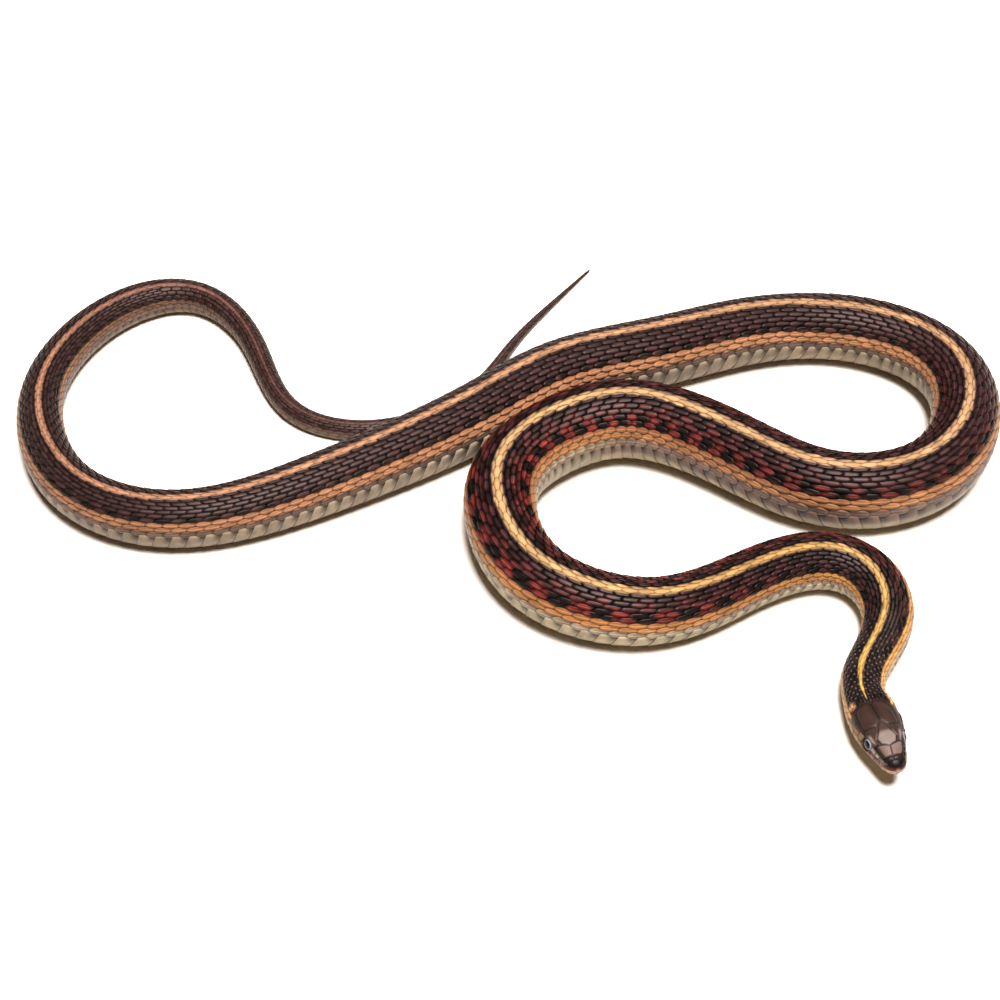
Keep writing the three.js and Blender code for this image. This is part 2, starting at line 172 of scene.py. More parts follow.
# Right half of the body's section for a half width of 1: an arch above, a squarer belly below
BELLY_SQUARENESS = 2.1
angle = np.linspace(0, math.pi / 2, 400)
shoulder = 0.54 * BODY_HEIGHT
arch = np.stack([np.sin(angle), shoulder + 0.46 * BODY_HEIGHT * np.cos(angle)], 1)
corner = 2 / BELLY_SQUARENESS
belly = np.stack([np.cos(angle) ** corner, shoulder * (1 - np.sin(angle) ** corner)], 1)
section = np.vstack([arch, belly[1:]])
section_arc = np.r_[0, np.cumsum(np.hypot(*np.diff(section, axis=0).T))]
HALF_ARC = section_arc[-1]
print("ridge to belly line is", round(HALF_ARC, 2), "half widths")

# %% [markdown]
# ## The head's own shape
# A garter snake's head is a long rounded box, flat on top, a little wider than the neck, with a
# blunt snout. It has its own frame: x runs forward from the back of the head, y to its left and z
# up. Each section is a squared oval, so that the cheeks stand upright under a flat crown.

# %% Head sections
# [x, half width, top, bottom]
HEAD_SECTIONS = [
    [-1.2, 4.6, 4.3, -4.3], [0, 4.7, 4.3, -4.3], [1.5, 4.95, 4.3, -4.3], [3.2, 5.2, 4.3, -4.2],
    [5.2, 5.35, 4.2, -4.05], [7.4, 5.3, 4.05, -3.8], [9.6, 5, 3.8, -3.55],
    [11.4, 4.65, 3.5, -3.4], [13, 4.2, 3.2, -3.2], [14.8, 3.6, 2.75, -3.05],
    [16.6, 3.05, 2.25, -2.85], [18.1, 2.5, 1.75, -2.6], [19.1, 2.0, 1.25, -2.3],
    [19.8, 1.3, 0.7, -1.9], [20.1, 0.75, 0.2, -1.5], [20.2, 0.05, -0.55, -0.75],
]
HEAD_SQUARENESS = 2.35
WIDEST_AT = 0.42
HEAD_TURN = Euler((math.radians(4), math.radians(-7), math.radians(-78.5)), "XYZ")
HEAD_ORIGIN = np.array([76.5, -61.5, 5.5]) - [*ORIGIN, 0]
SNOUT = HEAD_SECTIONS[-1][0]
head_matrix = np.array(HEAD_TURN.to_matrix())


def head_ring(x, share):
    """Points in the head's frame, share being 0 at the crown line, 1 or -1 under the chin."""
    table = np.array(HEAD_SECTIONS)
    width, top, low = (smooth_table(table[:, [0, k]], x) for k in (1, 2, 3))
    t = np.linspace(0, math.pi, 400)
    across = np.sign(np.sin(t)) * np.abs(np.sin(t)) ** (2 / HEAD_SQUARENESS)
    rise = np.sign(np.cos(t)) * np.abs(np.cos(t)) ** (2 / HEAD_SQUARENESS)
    middle = low + WIDEST_AT * (top - low)
    y = width[:, None] * across
    z = middle[:, None] + np.where(rise > 0, rise * (top - middle)[:, None], 0)
    z += np.where(rise < 0, rise * (middle - low)[:, None], 0)
    arc = np.cumsum(np.hypot(np.diff(y, axis=1, prepend=0), np.diff(z, axis=1, prepend=z[:, :1])), 1)
    arc /= arc[:, -1:]
    ring_y = np.stack([np.interp(abs(share), a, b) for a, b in zip(arc, y)]) * np.sign(share)
    ring_z = np.stack([np.interp(abs(share), a, b) for a, b in zip(arc, z)])
    ring_x = np.broadcast_to(x[:, None], ring_y.shape)
    return np.stack([ring_x, ring_y, ring_z], -1)


print("head", SNOUT, "mm long,", 2 * max(part[1] for part in HEAD_SECTIONS), "mm wide")

# %% [markdown]
# ## The body's sections in place
# Each section of the body stands square to the line, its lower edge on the floor. Towards the
# head the line lifts off the floor in a slow curve, so that the chin hangs free.

# %% Body sections


def body_ring(s, share):
    """Points of the body's sections at distances s along the line."""
    inside = np.clip(s, 0, LENGTH)
    centre = np.stack([np.interp(inside, travelled, line[:, k]) for k in (0, 1)], -1)
    way = np.stack([np.interp(inside, travelled, heading[:, k]) for k in (0, 1)], -1)
    way /= np.linalg.norm(way, axis=1)[:, None]
    centre += way * (s - inside)[:, None]
    width = smooth_table(HALF_WIDTHS, s)
    height = (NECK_HEIGHT + (BODY_HEIGHT - NECK_HEIGHT) * ease(0, 60, s)) / BODY_HEIGHT
    lift = HEAD_LIFT * np.clip(1 - s / LIFT_LENGTH, 0, 2) ** 2
    arc = np.abs(share) * HALF_ARC
    across = np.interp(arc, section_arc, section[:, 0]) * np.sign(share)
    rise = np.interp(arc, section_arc, section[:, 1])
    right = np.stack([way[:, 1], -way[:, 0]], -1)
    flat = centre[:, None] + right[:, None] * (width[:, None] * across)[..., None]
    z = lift[:, None] + (width * height)[:, None] * rise
    return np.concatenate([flat, z[..., None]], -1)


mid_top = body_ring(np.array([165.0]), np.array([0.0]))[0, 0, 2]
print("the back stands", mid_top.round(1), "mm high at its thickest")

# %% [markdown]
# ## One surface from snout to tail
# Head and body are blended over a few millimetres at the nape, and the whole surface is kept as a
# fine net of points and normals. Every later piece, from the skin to the last scale, asks this
# net where it lies, so all of them follow one form. Distances along the head count backwards from
# the nape, so the snout is at about -20.

# %% Net of the surface
net_s = np.r_[np.arange(-SNOUT, 0, 0.15), np.arange(0, LENGTH, 0.5), LENGTH]
net_share = np.linspace(-1, 1, 161)
head_part = net_s < 6
net = body_ring(net_s, net_share)
head_local = head_ring(-net_s[head_part], net_share)
head_world = head_local @ head_matrix.T + HEAD_ORIGIN
merge = ease(-3.5, 4, net_s[head_part])[:, None, None]
net[head_part] = head_world * (1 - merge) + net[head_part] * merge

along = np.gradient(net, axis=0)
around = np.gradient(net, axis=1)
around[:, [0, -1]] = (net[:, [1]] - net[:, [-2]]) / 2
net_normal = np.cross(around, along)
net_normal /= np.linalg.norm(net_normal, axis=2)[..., None] + 1e-12
net_normal[0] = head_matrix @ [1, 0, 0]
print("net of", net.shape[0], "by", net.shape[1], "points, normals up on the back:",
      bool(net_normal[500, 80, 2] > 0))


def between(values, s, share):
    """Values of the net between its points, by distance along and share round."""
    i = np.clip(np.searchsorted(net_s, s, side="right") - 1, 0, len(net_s) - 2)
    t = np.clip((s - net_s[i]) / (net_s[i + 1] - net_s[i]), 0, 1)[..., None]
    share = (share + 1) % 2 - 1
    place = (share + 1) / 2 * (len(net_share) - 1)
    j = np.clip(place.astype(int), 0, len(net_share) - 2)
    r = (place - j)[..., None]
    low = values[i, j] * (1 - r) + values[i, j + 1] * r
    high = values[i + 1, j] * (1 - r) + values[i + 1, j + 1] * r
    return low * (1 - t) + high * t


def on_surface(s, share, height):
    """Points in millimetres, standing height above the surface, never under the floor."""
    normal = between(net_normal, s, share)
    normal /= np.linalg.norm(normal, axis=-1)[..., None] + 1e-12
    points = between(net, s, share) + normal * np.asarray(height)[..., None]
    points[..., 2] = np.maximum(points[..., 2], 0.01)
    return points


def roll_at(s):
    """How far the ridge is rolled off the top, in radians."""
    return np.radians(smooth_table(ROLL_DEGREES, s))


# %% [markdown]
# ## Markings
# A garter snake wears long stripes: a bright one along the ridge, a dark band with two staggered
# rows of black spots and red flecks, an orange stripe low on the side, a grey-brown row, then the
# cream belly. The pattern is told as a function of two numbers, the distance along and the
# distance round from the ridge in half widths, so that skin and scales share it exactly. Colours
# are read as sRGB hex values and turned linear once.

# %% Colour tables


def linear(code):
    """Linear RGB of an sRGB hex value."""
    c = np.array([int(code[i:i + 2], 16) for i in (1, 3, 5)]) / 255
    return np.where(c <= 0.04045, c / 12.92, ((c + 0.055) / 1.055) ** 2.4)


def along_body(stops, s):
    """Colour at distances s from [distance, hex] stops."""
    places = [stop[0] for stop in stops]
    colours = np.array([linear(stop[1]) for stop in stops])
    return np.stack([np.interp(s, places, colours[:, k]) for k in range(3)], -1)


def blend(a, b, share):
    """Colour a where share is 0, colour b where it is 1."""
    return a + (b - a) * np.asarray(share)[..., None]


# The tables hold colours as they look under a bright light; the skin itself is this much darker
PICTURE_TO_SKIN = 0.34
STRIPE = [
    [0, "#f0bb62"], [30, "#e8b168"], [60, "#e3aa63"], [110, "#ecb87d"], [230, "#eab37f"],
    [330, "#e3a97b"], [450, "#e0a37a"], [520, "#d69875"], [570, "#c78b6c"], [600, "#a87260"],
    [640, "#6b453e"], [700, "#7b5650"], [768, "#614742"],
]
BACK = [
    [0, "#2c1f1c"], [20, "#33231f"], [60, "#40292a"], [200, "#452d2e"], [330, "#46302e"],
    [560, "#46312e"], [640, "#523731"], [768, "#584039"],
]
OUTLINE = [
    [0, "#221713"], [60, "#2f1f1c"], [200, "#33221f"], [330, "#35231f"], [560, "#32231f"],
    [768, "#3a2824"],
]
SPOT = [[0, "#17110e"], [200, "#14100e"], [560, "#1d1613"], [640, "#33241f"], [768, "#3d2b26"]]
RED = [
    [0, "#4a2924"], [30, "#80302a"], [110, "#8c342d"], [200, "#86322c"], [260, "#6a2c29"],
    [420, "#5a2b28"], [560, "#4a2d29"], [768, "#5a3a33"],
]
SIDE = [
    [0, "#e8a75e"], [45, "#cf8d4c"], [110, "#cc8a52"], [200, "#c28456"], [340, "#c98a60"],
    [450, "#c3855e"], [560, "#ab7855"], [610, "#725243"], [768, "#654a3f"],
]
LOW_ROW = [
    [0, "#d8b48c"], [50, "#a08270"], [110, "#a58c7c"], [170, "#a88a72"], [200, "#8f7366"],
    [250, "#8c7060"], [300, "#735849"], [450, "#6d5447"], [520, "#7a6152"], [600, "#86695a"],
    [768, "#7d6050"],
]
BELLY = [
    [0, "#f0dcb8"], [60, "#d8c5a0"], [200, "#d2bf9b"], [330, "#bba68a"], [450, "#bba68c"],
    [600, "#ab9279"], [768, "#a0846e"],
]
print("stripe at mid body", along_body(STRIPE, np.array([300.0])).round(2))

# %% [markdown]
# ## The pattern
# The black squares stand in two rows a side, staggered like a checkerboard, and the step from one
# to the next changes along the body. Red fills the ground between them on the front third, where
# it is broken into flecks, and fades towards the tail. It starts nearer the head on one side than
# on the other, as in the picture. Sines at unequal steps make flecks that don't repeat to the eye.

# %% Pattern
# Borders of the stripe, the dark band, the side stripe and the belly, in half widths from the ridge
STRIPE_EDGE = 0.12
BAND_EDGE = 1.03
SIDE_EDGE = 1.38
BELLY_EDGE = 1.62
# Millimetres from one black square to the next in its row
SPOT_PERIODS = [
    [-10, 6.5], [60, 8], [135, 8], [185, 6.2], [230, 6], [300, 5], [345, 5.2], [430, 5.6],
    [510, 5.4], [768, 4.6],
]
spot_s = np.arange(-10, 790, 1.0)
spot_count = np.cumsum(1 / np.interp(spot_s, *np.array(SPOT_PERIODS).T))


def stripe_edge(s):
    """The stripe starts as a point behind the head."""
    return STRIPE_EDGE * np.clip((s + 3.6) / 9, 0, 1) ** 0.7


def spots(s, u):
    """Two staggered rows of black squares, a checkerboard in the dark band."""
    side = np.abs(u)
    phase = np.interp(s, spot_s, spot_count)
    wave = np.cos(2 * math.pi * (phase + np.where(u > 0, 0.13, 0)))
    upper = ease(0.17, 0.23, side) * (1 - ease(0.54, 0.62, side)) * ease(-0.2, 0.2, wave)
    lower = ease(0.6, 0.68, side) * (1 - ease(1.03, 1.08, side)) * ease(-0.3, 0.1, -wave)
    # Towards the tail the upper row fades into the band, and the lower one keeps its low edge
    rear = ease(225, 290, s)
    upper = upper * 0.8 * (1 - 0.85 * rear)
    lower = lower * (1 - 0.6 * rear * ease(0.86, 0.8, side))
    return np.clip(np.maximum(upper, lower), 0, 1)


def body_marking(s, u):
    """Colour of the body at distances s, and u round from the ridge in half widths."""
    side = np.abs(u)
    edge = side + 0.012 * np.sin(s * 1.9 + np.sign(u)) + 0.01 * np.sin(s * 0.71 + 2 * u)
    # The red starts nearer the head on the left side than on the right
    in_front = ease(np.where(u < 0, 50, 18), np.where(u < 0, 88, 42), s)
    in_front = in_front * (1 - 0.8 * ease(200, 320, s))
    fleck = 0.5 + 0.5 * np.sin(s * 2.1 + u * 9) * np.sin(s * 0.83 - u * 13)
    red_share = (0.75 * ease(0.26, 0.4, side) * fleck + ease(0.62, 0.7, side) * (0.75 + 0.25 * fleck))
    red_share = np.clip(red_share, 0, 1) * (0.12 + 0.88 * in_front)
    colour = blend(along_body(BACK, s), along_body(RED, s), red_share)
    black_fleck = 0.5 + 0.5 * np.sin(s * 1.37 - u * 11) * np.sin(s * 0.61 + u * 7)
    colour = colour * (1 - 0.5 * ease(20, 60, s) * ease(0.3, 0.8, black_fleck))[..., None]
    colour = blend(colour, along_body(SPOT, s), spots(s, u))
    warm = blend(along_body(SIDE, s), along_body(RED, s),
                 0.45 * in_front * (1 - ease(BAND_EDGE, 1.2, side)))
    colour = blend(colour, warm, ease(BAND_EDGE - 0.03, BAND_EDGE + 0.03, edge))
    colour = blend(colour, along_body(LOW_ROW, s), ease(SIDE_EDGE - 0.02, SIDE_EDGE + 0.03, edge))
    start = 1.82 - 0.27 * ease(70, 85, s) * ease(175, 160, s)
    cream = blend(along_body(LOW_ROW, s), along_body(BELLY, s), ease(start, start + 0.28, side))
    colour = blend(colour, cream, ease(BELLY_EDGE - 0.02, BELLY_EDGE + 0.02, side))
    rim = stripe_edge(s)
    colour = blend(along_body(STRIPE, s), colour, ease(rim - 0.02, rim + 0.02, edge))
    return colour * PICTURE_TO_SKIN


def outline_share(s, u):
    """How broad the dark rim of a scale is: thin on the stripes, broad in the dark band."""
    side = np.abs(u)
    rim = 0.5 - 0.14 * ease(240, 300, s) - 0.3 * ease(24, 6, s)
    rim = np.where(side < stripe_edge(s) + 0.01, 0.08, rim)
    rim = np.where(side > BAND_EDGE, 0.28, rim)
    return np.where(side > BELLY_EDGE, 0, rim)


print("black squares in a row from neck to vent:", int(np.interp(604, spot_s, spot_count)))

# %% [markdown]
# ## Plates of the head
# On the head the scales grow together into large plates with names of their own: two internasals
# and two prefrontals on the snout, a frontal between the eyes with a supraocular each side, and a
# pair of parietals behind. Cutting each plate into the mesh would fix them for good, so each is
# an outline in plan or in side view instead, which is easily moved. How far a point lies inside
# its outline gives both its height and the dark line round it.

# %% Plate outlines
# The line the crown plates meet on, [x, y]: the head leans, so it runs a little off the middle
CROWN_LINE = [[3, -1], [6, -0.75], [9, -0.35], [12, -0.2], [15, -0.15], [18, -0.35], [20, -0.4]]
# Outlines on one half in plan, [x, distance from that line]; the other half is the mirror
CROWN_PLATES = {
    "internasal": [[18.9, 0.02], [18.85, 0.9], [18.3, 1.6], [17.95, 1.85], [17.9, 0.02]],
    "prefrontal": [
        [17.8, 0.02], [17.8, 1.7], [17.2, 2.2], [15.6, 2.6], [14.9, 2.5], [15.2, 1.6],
        [15.75, 0.02],
    ],
    "supraocular": [
        [14.8, 2.6], [13.6, 3.2], [12, 3.7], [10.9, 3.5], [10.9, 1.5], [12.4, 1.35],
        [13.7, 2.1], [15, 1.65],
    ],
    "frontal": [[16.1, -1], [15, 1.5], [13.7, 2], [12.4, 1.25], [11, 1], [9, -1]],
    "parietal": [
        [9.7, 0.02], [10.8, 1.1], [10.8, 3.3], [9.9, 3.6], [7.6, 3.5], [6, 3.1], [5.1, 2.2],
        [4.9, 0.8], [5.5, 0.02],
    ],
}
# Outlines in side view, [x, z], both sides alike
CHEEK_PLATES = {
    "nasal": [[19.2, 0.2], [18.9, 1], [17.4, 1.35], [16.9, 1.3], [16.85, 0.1], [18, -0.05]],
    "loreal": [[16.75, 0.1], [16.8, 1.35], [15.8, 1.6], [15.6, 0.05]],
    "preocular": [[15.5, 0.05], [15.7, 1.6], [14.4, 1.9], [14.2, 0.1]],
    "postocular": [[11.7, 0.1], [11.6, 2.7], [10.2, 2.8], [10, 0.3]],
    "upper temporal": [[9.9, 1.5], [10.1, 2.8], [7.4, 2.9], [7.3, 1.6]],
    "lower temporal": [[9.9, 0.2], [9.9, 1.4], [7.3, 1.5], [7.1, 0.3]],
}
# The frontal and the prefrontals are paler than the crown's own brown: in part a painted sheen
PLATE_COLOURS = {
    "internasal": "#3b2d2a", "prefrontal": "#94796f", "supraocular": "#4b3831",
    "frontal": "#a28c81", "parietal": "#4c362f", "nasal": "#8d7465",
    "loreal": "#cdb8a6", "preocular": "#c0a898", "postocular": "#a07c5a",
    "upper temporal": "#665049", "lower temporal": "#9a7a5c",
}
PLATE_RISE = 0.16
# The normal leans up by more than this on the crown, and by less on the cheek
CROWN_FACING = 0.5


def depth_inside(outline, a, b):
    """How far points lie inside a closed outline, negative outside."""
    corners = np.array(outline, float)
    nearest = np.full(a.shape, 1e9)
    inside = np.zeros(a.shape, bool)
    for (x0, y0), (x1, y1) in zip(corners, np.roll(corners, -1, axis=0)):
        t = ((a - x0) * (x1 - x0) + (b - y0) * (y1 - y0)) / ((x1 - x0) ** 2 + (y1 - y0) ** 2)
        t = np.clip(t, 0, 1)
        nearest = np.minimum(nearest, np.hypot(a - x0 - t * (x1 - x0), b - y0 - t * (y1 - y0)))
        if y0 != y1:
            crossing = x0 + (b - y0) * (x1 - x0) / (y1 - y0)
            inside ^= ((y0 > b) != (y1 > b)) & (a < crossing)
    return np.where(inside, nearest, -nearest)


middle_of_frontal = depth_inside(CROWN_PLATES["frontal"], np.array([13.5]), np.array([0.0]))
print("the frontal plate is", (2 * middle_of_frontal[0]).round(1), "mm across at the eyes")

# %% [markdown]
# ## Colours of the crown and cheek
# The plates are brown and darker towards the back; on the snout and between the eyes they are palest,
# in part a painted sheen. A pale streak on each brow is a painted highlight. A black line runs from
# each eye to the snout, which is black itself. The cheek is paler, and under the jaw the skin turns to
# cream.

# %% Crown and cheek
CROWN_SKIN = "#3a2a25"
CHEEK_SKIN = "#6b5243"
THROAT_COLOUR = "#e6d6b0"
DARK_CROWN = "#523c35"
PARIETAL_SUTURE = "#33231f"
# Colour of the painted highlight, a pale streak along each brow
PAINTED_BROW_HIGHLIGHT = "#b79d92"
SNOUT_BLACK = "#1a1416"


def plates_look(x, z, plan, facing):
    """Rise, colour and dark lines of the plates and of the skin between them."""
    colour = blend(np.broadcast_to(linear(CHEEK_SKIN), (*x.shape, 3)), linear(CROWN_SKIN),
                   ease(0.2, 0.6, facing))
    colour = blend(colour, linear(THROAT_COLOUR), ease(-0.6, -1.6, z))
    rise = np.zeros(x.shape)
    lines = np.zeros(x.shape)
    on_crown = facing > CROWN_FACING
    for plates, on_it, second in ((CROWN_PLATES, on_crown, plan), (CHEEK_PLATES, ~on_crown, z)):
        for name, outline in plates.items():
            depth = depth_inside(outline, x, second)
            held = on_it & (depth > 0)
            rise = np.where(held, PLATE_RISE * ease(0, 0.25, depth), rise)
            colour = np.where(held[..., None], linear(PLATE_COLOURS[name]), colour)
            lines = np.where(held, 1 - ease(0.03, 0.16, depth), lines)
    return rise, colour, lines


def crown_shades(colour, x, z, plan, facing):
    """Adds the darker places of the crown, a painted highlight on each brow, and the black of the
    snout.
    """
    on_crown = facing > CROWN_FACING
    # The frontal and the brows darken towards the back, where the painted sheen on their fronts ends;
    # the parietals darken towards their suture
    behind = on_crown * ease(13, 11.9, x) * (plan < 1.5) * (x > 9.9)
    colour = blend(colour, linear(DARK_CROWN), behind)
    middle = on_crown * ease(1.6, 0.3, plan) * ease(10, 8.5, x) * ease(4.5, 5.5, x)
    colour = blend(colour, linear(PARIETAL_SUTURE), 0.7 * middle)
    # Painted highlight: a pale streak along the outer edge of each brow
    brow_highlight = np.exp(-(((plan - 2.95 + 0.25 * (x - 13.2)) / 0.28) ** 2)) * on_crown
    brow_highlight *= ease(11.8, 12.8, x) * ease(15.2, 14.4, x)
    colour = blend(colour, linear(PAINTED_BROW_HIGHLIGHT), 0.85 * brow_highlight)
    # The black line lies where the crown bends down to the cheek
    black = np.exp(-(((facing - 0.6) / 0.19) ** 4)) * ease(13.9, 14.9, x) * (z > 0)
    black = np.maximum(black, ease(18.5, 19, x) * (z > -0.4))
    return blend(colour, linear(SNOUT_BLACK), 0.95 * black)


print("plates on each half of the head:", len(CROWN_PLATES) + len(CHEEK_PLATES))

# %% [markdown]
# ## Lips and mouth
# Low on the side run the lip plates, above and below the line of the mouth: orange behind the eye,
# mauve and brown in front of it, with black sutures and a pale edge along the mouth. The closed mouth
# is a crease pressed into the skin and darkened with painted shade, and the lower lip stands a little
# back from the upper one, as a lid fits a box.

# %% Lips
MOUTH_LINE = [[6.2, -0.85], [8.6, -1.35], [11, -1.7], [13.6, -1.75], [16.4, -1.65], [20.6, -1.45]]
UPPER_LIP_SUTURES = [18.9, 17.4, 15.8, 14.3, 12.5, 10.6, 8.4, 6.4]
LOWER_LIP_SUTURES = [18.2, 16.7, 15.1, 13.4, 11.5, 9.4, 7]
UPPER_LIP_HEIGHT = 1.75
LOWER_LIP_HEIGHT = 1.2
CREASE_DEPTH = 0.28
LOWER_LIP_STEP = 0.18
UPPER_LIP = [
    [5, "#e0a968"], [9.5, "#c9975c"], [12.4, "#c08a4e"], [13.2, "#b5745c"], [14.6, "#b87e72"],
    [15.6, "#7c4a50"], [16.6, "#7c4a50"], [17.3, "#b58a7a"], [18.4, "#8a5c50"], [19.2, "#5c332b"],
]
LOWER_LIP = [[5, "#e0b47c"], [12, "#e3c39a"], [20, "#dcae96"]]
LIP_EDGE = "#efc3a6"
SNOUT_RIM = "#6d3b31"


def lip_look(rise, colour, lines, x, z, facing):
    """Adds the lip plates and the crease of the mouth."""
    above = z - smooth_table(MOUTH_LINE, x)
    slant = x + 0.12 * above
    front = ease(17.5, 19, x)
    for sutures, from_mouth, height, stops in (
        (UPPER_LIP_SUTURES, above, UPPER_LIP_HEIGHT, UPPER_LIP),
        (LOWER_LIP_SUTURES, -above, LOWER_LIP_HEIGHT, LOWER_LIP),
    ):
        gap = np.min([np.abs(slant - k) for k in sutures], axis=0)
        held = (facing <= CROWN_FACING) & (from_mouth > 0) & (from_mouth < height)
        held &= x > sutures[-1]
        depth = np.minimum(gap, height - from_mouth)
        rise = np.where(held, PLATE_RISE * ease(0, 0.22, depth), rise)
        pale_edge = ease(0.55 + 0.75 * front, 0.25 + 0.75 * front, from_mouth)
        lip = blend(along_body(stops, x), linear(LIP_EDGE), pale_edge)
        colour = np.where(held[..., None], lip, colour)
        dark = ease(0.25, 0.7, from_mouth) * (1 - ease(0.04, 0.2, gap))
        dark = np.maximum(dark, 0.3 * (1 - ease(0.02, 0.14, depth)))
        lines = np.where(held, dark, lines)
    rim = front * ease(-0.1, -0.3, z) * ease(1, 1.2, above)
    colour = blend(colour, linear(SNOUT_RIM), rim)
    before_corner = 1 - ease(6.6, 5.8, x)
    crease = np.exp(-((above / 0.16) ** 2)) * before_corner
    rise = rise - CREASE_DEPTH * crease
    rise -= LOWER_LIP_STEP * ease(0.05, -0.15, above) * before_corner * ease(5.4, 7, x)
    # The crease is darkened as well as pressed in, a painted shade
    return rise, colour, np.maximum(lines, crease * 0.95)


print("lip plates on each side:", len(UPPER_LIP_SUTURES), "above,", len(LOWER_LIP_SUTURES), "shaded_lower_half")

# %% [markdown]
# ## Sockets and nostrils
# Each eye sits in a round pit with a low rim, and each nostril is a small pit in the nasal plate.
# Holes cut by a boolean would leave a ragged edge in so fine a grid, so they are pressed into it, by
# how far each point lies from their middle in side view. Their insides are painted black, a painted
# shade.

# %% Sockets and nostrils
EYE = np.array([12.8, 3.2, 0.62])
EYE_RADIUS = 1.45
EYE_DEPTH = 1.25
SOCKET_DEPTH = 1.15
SOCKET_RIM = 0.1
NOSTRIL = np.array([17.9, 2.75, 0.75])
NOSTRIL_RADIUS = 0.3
NOSTRIL_DEPTH = 0.4


def pits_look(rise, lines, x, y, z, facing):
    """Presses in the sockets and nostrils, paints their insides dark as shade, and blackens the skin
    round the eyes.
    """
    from_eye = np.hypot(x - EYE[0], z - EYE[2]) / EYE_RADIUS
    beside = y > 1.8
    socket = np.where(beside, 1 - np.clip(from_eye / 0.97, 0, 1) ** 4, 0)
    rim = np.where(beside, np.exp(-((from_eye - 1.1) / 0.1) ** 2), 0)
    rise = rise + SOCKET_RIM * rim - SOCKET_DEPTH * socket
    # Painted shade in the socket round the eye
    lines = np.maximum(lines, np.where(beside, ease(1.05, 0.92, from_eye), 0))
    # Black smudges before and below the eye
    smudge = np.exp(-((from_eye - 1.2) / 0.35) ** 2) * beside * (z < 0.6)
    smudge *= np.maximum(ease(13.6, 14.2, x), ease(12.3, 11.9, x) * ease(10.9, 11.3, x))
    lines = np.maximum(lines, smudge)
    from_nostril = np.hypot(x - NOSTRIL[0], z - NOSTRIL[2])
    in_reach = (y > 1.2) & ((facing <= CROWN_FACING) | (from_nostril < 0.5))
    pit = np.where(in_reach, np.exp(-((from_nostril / NOSTRIL_RADIUS) ** 4)), 0)
    # Painted shade: the pit of each nostril is blackened
    return rise - NOSTRIL_DEPTH * pit, np.maximum(lines, pit)


print("sockets", round(EYE_RADIUS * 2, 1), "mm across,", SOCKET_DEPTH, "mm deep")

# %% [markdown]
# ## The look of the whole skin
# One function gives the rise and colour of the head at any point, from the plates, the lips and
# the pits. A second one gives them for the whole skin, and lets the head's look fade into the
# body's markings at the nape. The bright spot on each side of the nape lies on skin and scales
# alike, so it is a function of its own.

# %% Look of the skin
NAPE_SPOT = [3.9, 4.2]
NAPE_SPOT_COLOUR = "#eeb27c"
# Dark sutures between the plates; the same colour is the painted shade in the pits and the mouth's
# crease
SUTURE_AND_SHADE_COLOUR = "#1d1411"


def nape_spot(local):
    """Share of the bright spot at points of the nape, in the head's frame."""
    far = ((local[..., 0] - NAPE_SPOT[0]) / 0.8) ** 2
    far = far + ((np.abs(local[..., 1]) - NAPE_SPOT[1]) / 0.65) ** 2
    return np.exp(-(far**2)) * (local[..., 2] > 0)


def head_look(local, facing):
    """Rise and colour at points of the head's frame; facing is the upward part of the normal."""
    x, z = local[..., 0], local[..., 2]
    y = np.abs(local[..., 1])
    plan = np.abs(local[..., 1] - smooth_table(CROWN_LINE, x))
    rise, colour, lines = plates_look(x, z, plan, facing)
    colour = crown_shades(colour, x, z, plan, facing)
    rise, colour, lines = lip_look(rise, colour, lines, x, z, facing)
    rise, lines = pits_look(rise, lines, x, y, z, facing)
    # Sutures, and painted shade in the pits and the crease of the mouth, take the same dark colour
    colour = blend(colour, linear(SUTURE_AND_SHADE_COLOUR), lines * 0.85)
    return rise, blend(colour, linear(NAPE_SPOT_COLOUR), nape_spot(local))


def skin_look(s, share):
    """Rise and colour of the skin at any place from snout to tail."""
    u = share * HALF_ARC - roll_at(s)
    side = np.abs(u)
    # Between the scales the skin has their dark rim's colour, paler on the side and the belly
    dark = ease(0, 0.02, side - stripe_edge(s)) * (0.9 - 0.6 * ease(1.0, 1.06, side))
    dark *= 1 - 0.5 * ease(BELLY_EDGE - 0.02, BELLY_EDGE + 0.02, side)
    bare = blend(body_marking(s, u) * 0.8, along_body(OUTLINE, s) * PICTURE_TO_SKIN, dark)
    rise = np.zeros(s.shape)
    on_head = s < 0
    if on_head.any():
        world = between(net, s[on_head], share[on_head])
        normal = between(net_normal, s[on_head], share[on_head]) @ head_matrix
        local = (world - HEAD_ORIGIN) @ head_matrix
        plate_rise, plate_colour = head_look(local, normal[..., 2])
        kept = ease(-0.5, -4.5, s[on_head])
        bare[on_head] = blend(bare[on_head], plate_colour * PICTURE_TO_SKIN, kept)
        rise[on_head] = plate_rise * kept
    return rise, bare


crown_rise = skin_look(np.array([-13.0]), np.array([0.1]))[0]
print("the frontal plate stands", crown_rise.round(2)[0], "mm proud")

# %% [markdown]
# ## The skin
# Under the scales lies one soft skin, from the snout to the tip of the tail. It could be lofted
# from curves, but a grid wrapped round the body keeps every row of faces in order: a fine grid
# for the head, where the plates are drawn in it, and a coarser one for the body, sewn together at
# the nape by a bridge, as two sleeves would be.

# %% Skin
SKIN_DEPTH = 0.25
NAPE = -0.6
# Faces along and round each grid: the head's are 0.13 mm long, the body's 1.3 mm
HEAD_GRID = (150, 288)
BODY_GRID = (600, 80)


def paint(mesh, name, colour):
    """Keeps a linear colour on every vertex."""
    layer = mesh.color_attributes.new(name, "FLOAT_COLOR", "POINT")
    layer.data.foreach_set("color", np.c_[colour, np.ones(len(colour))].ravel())


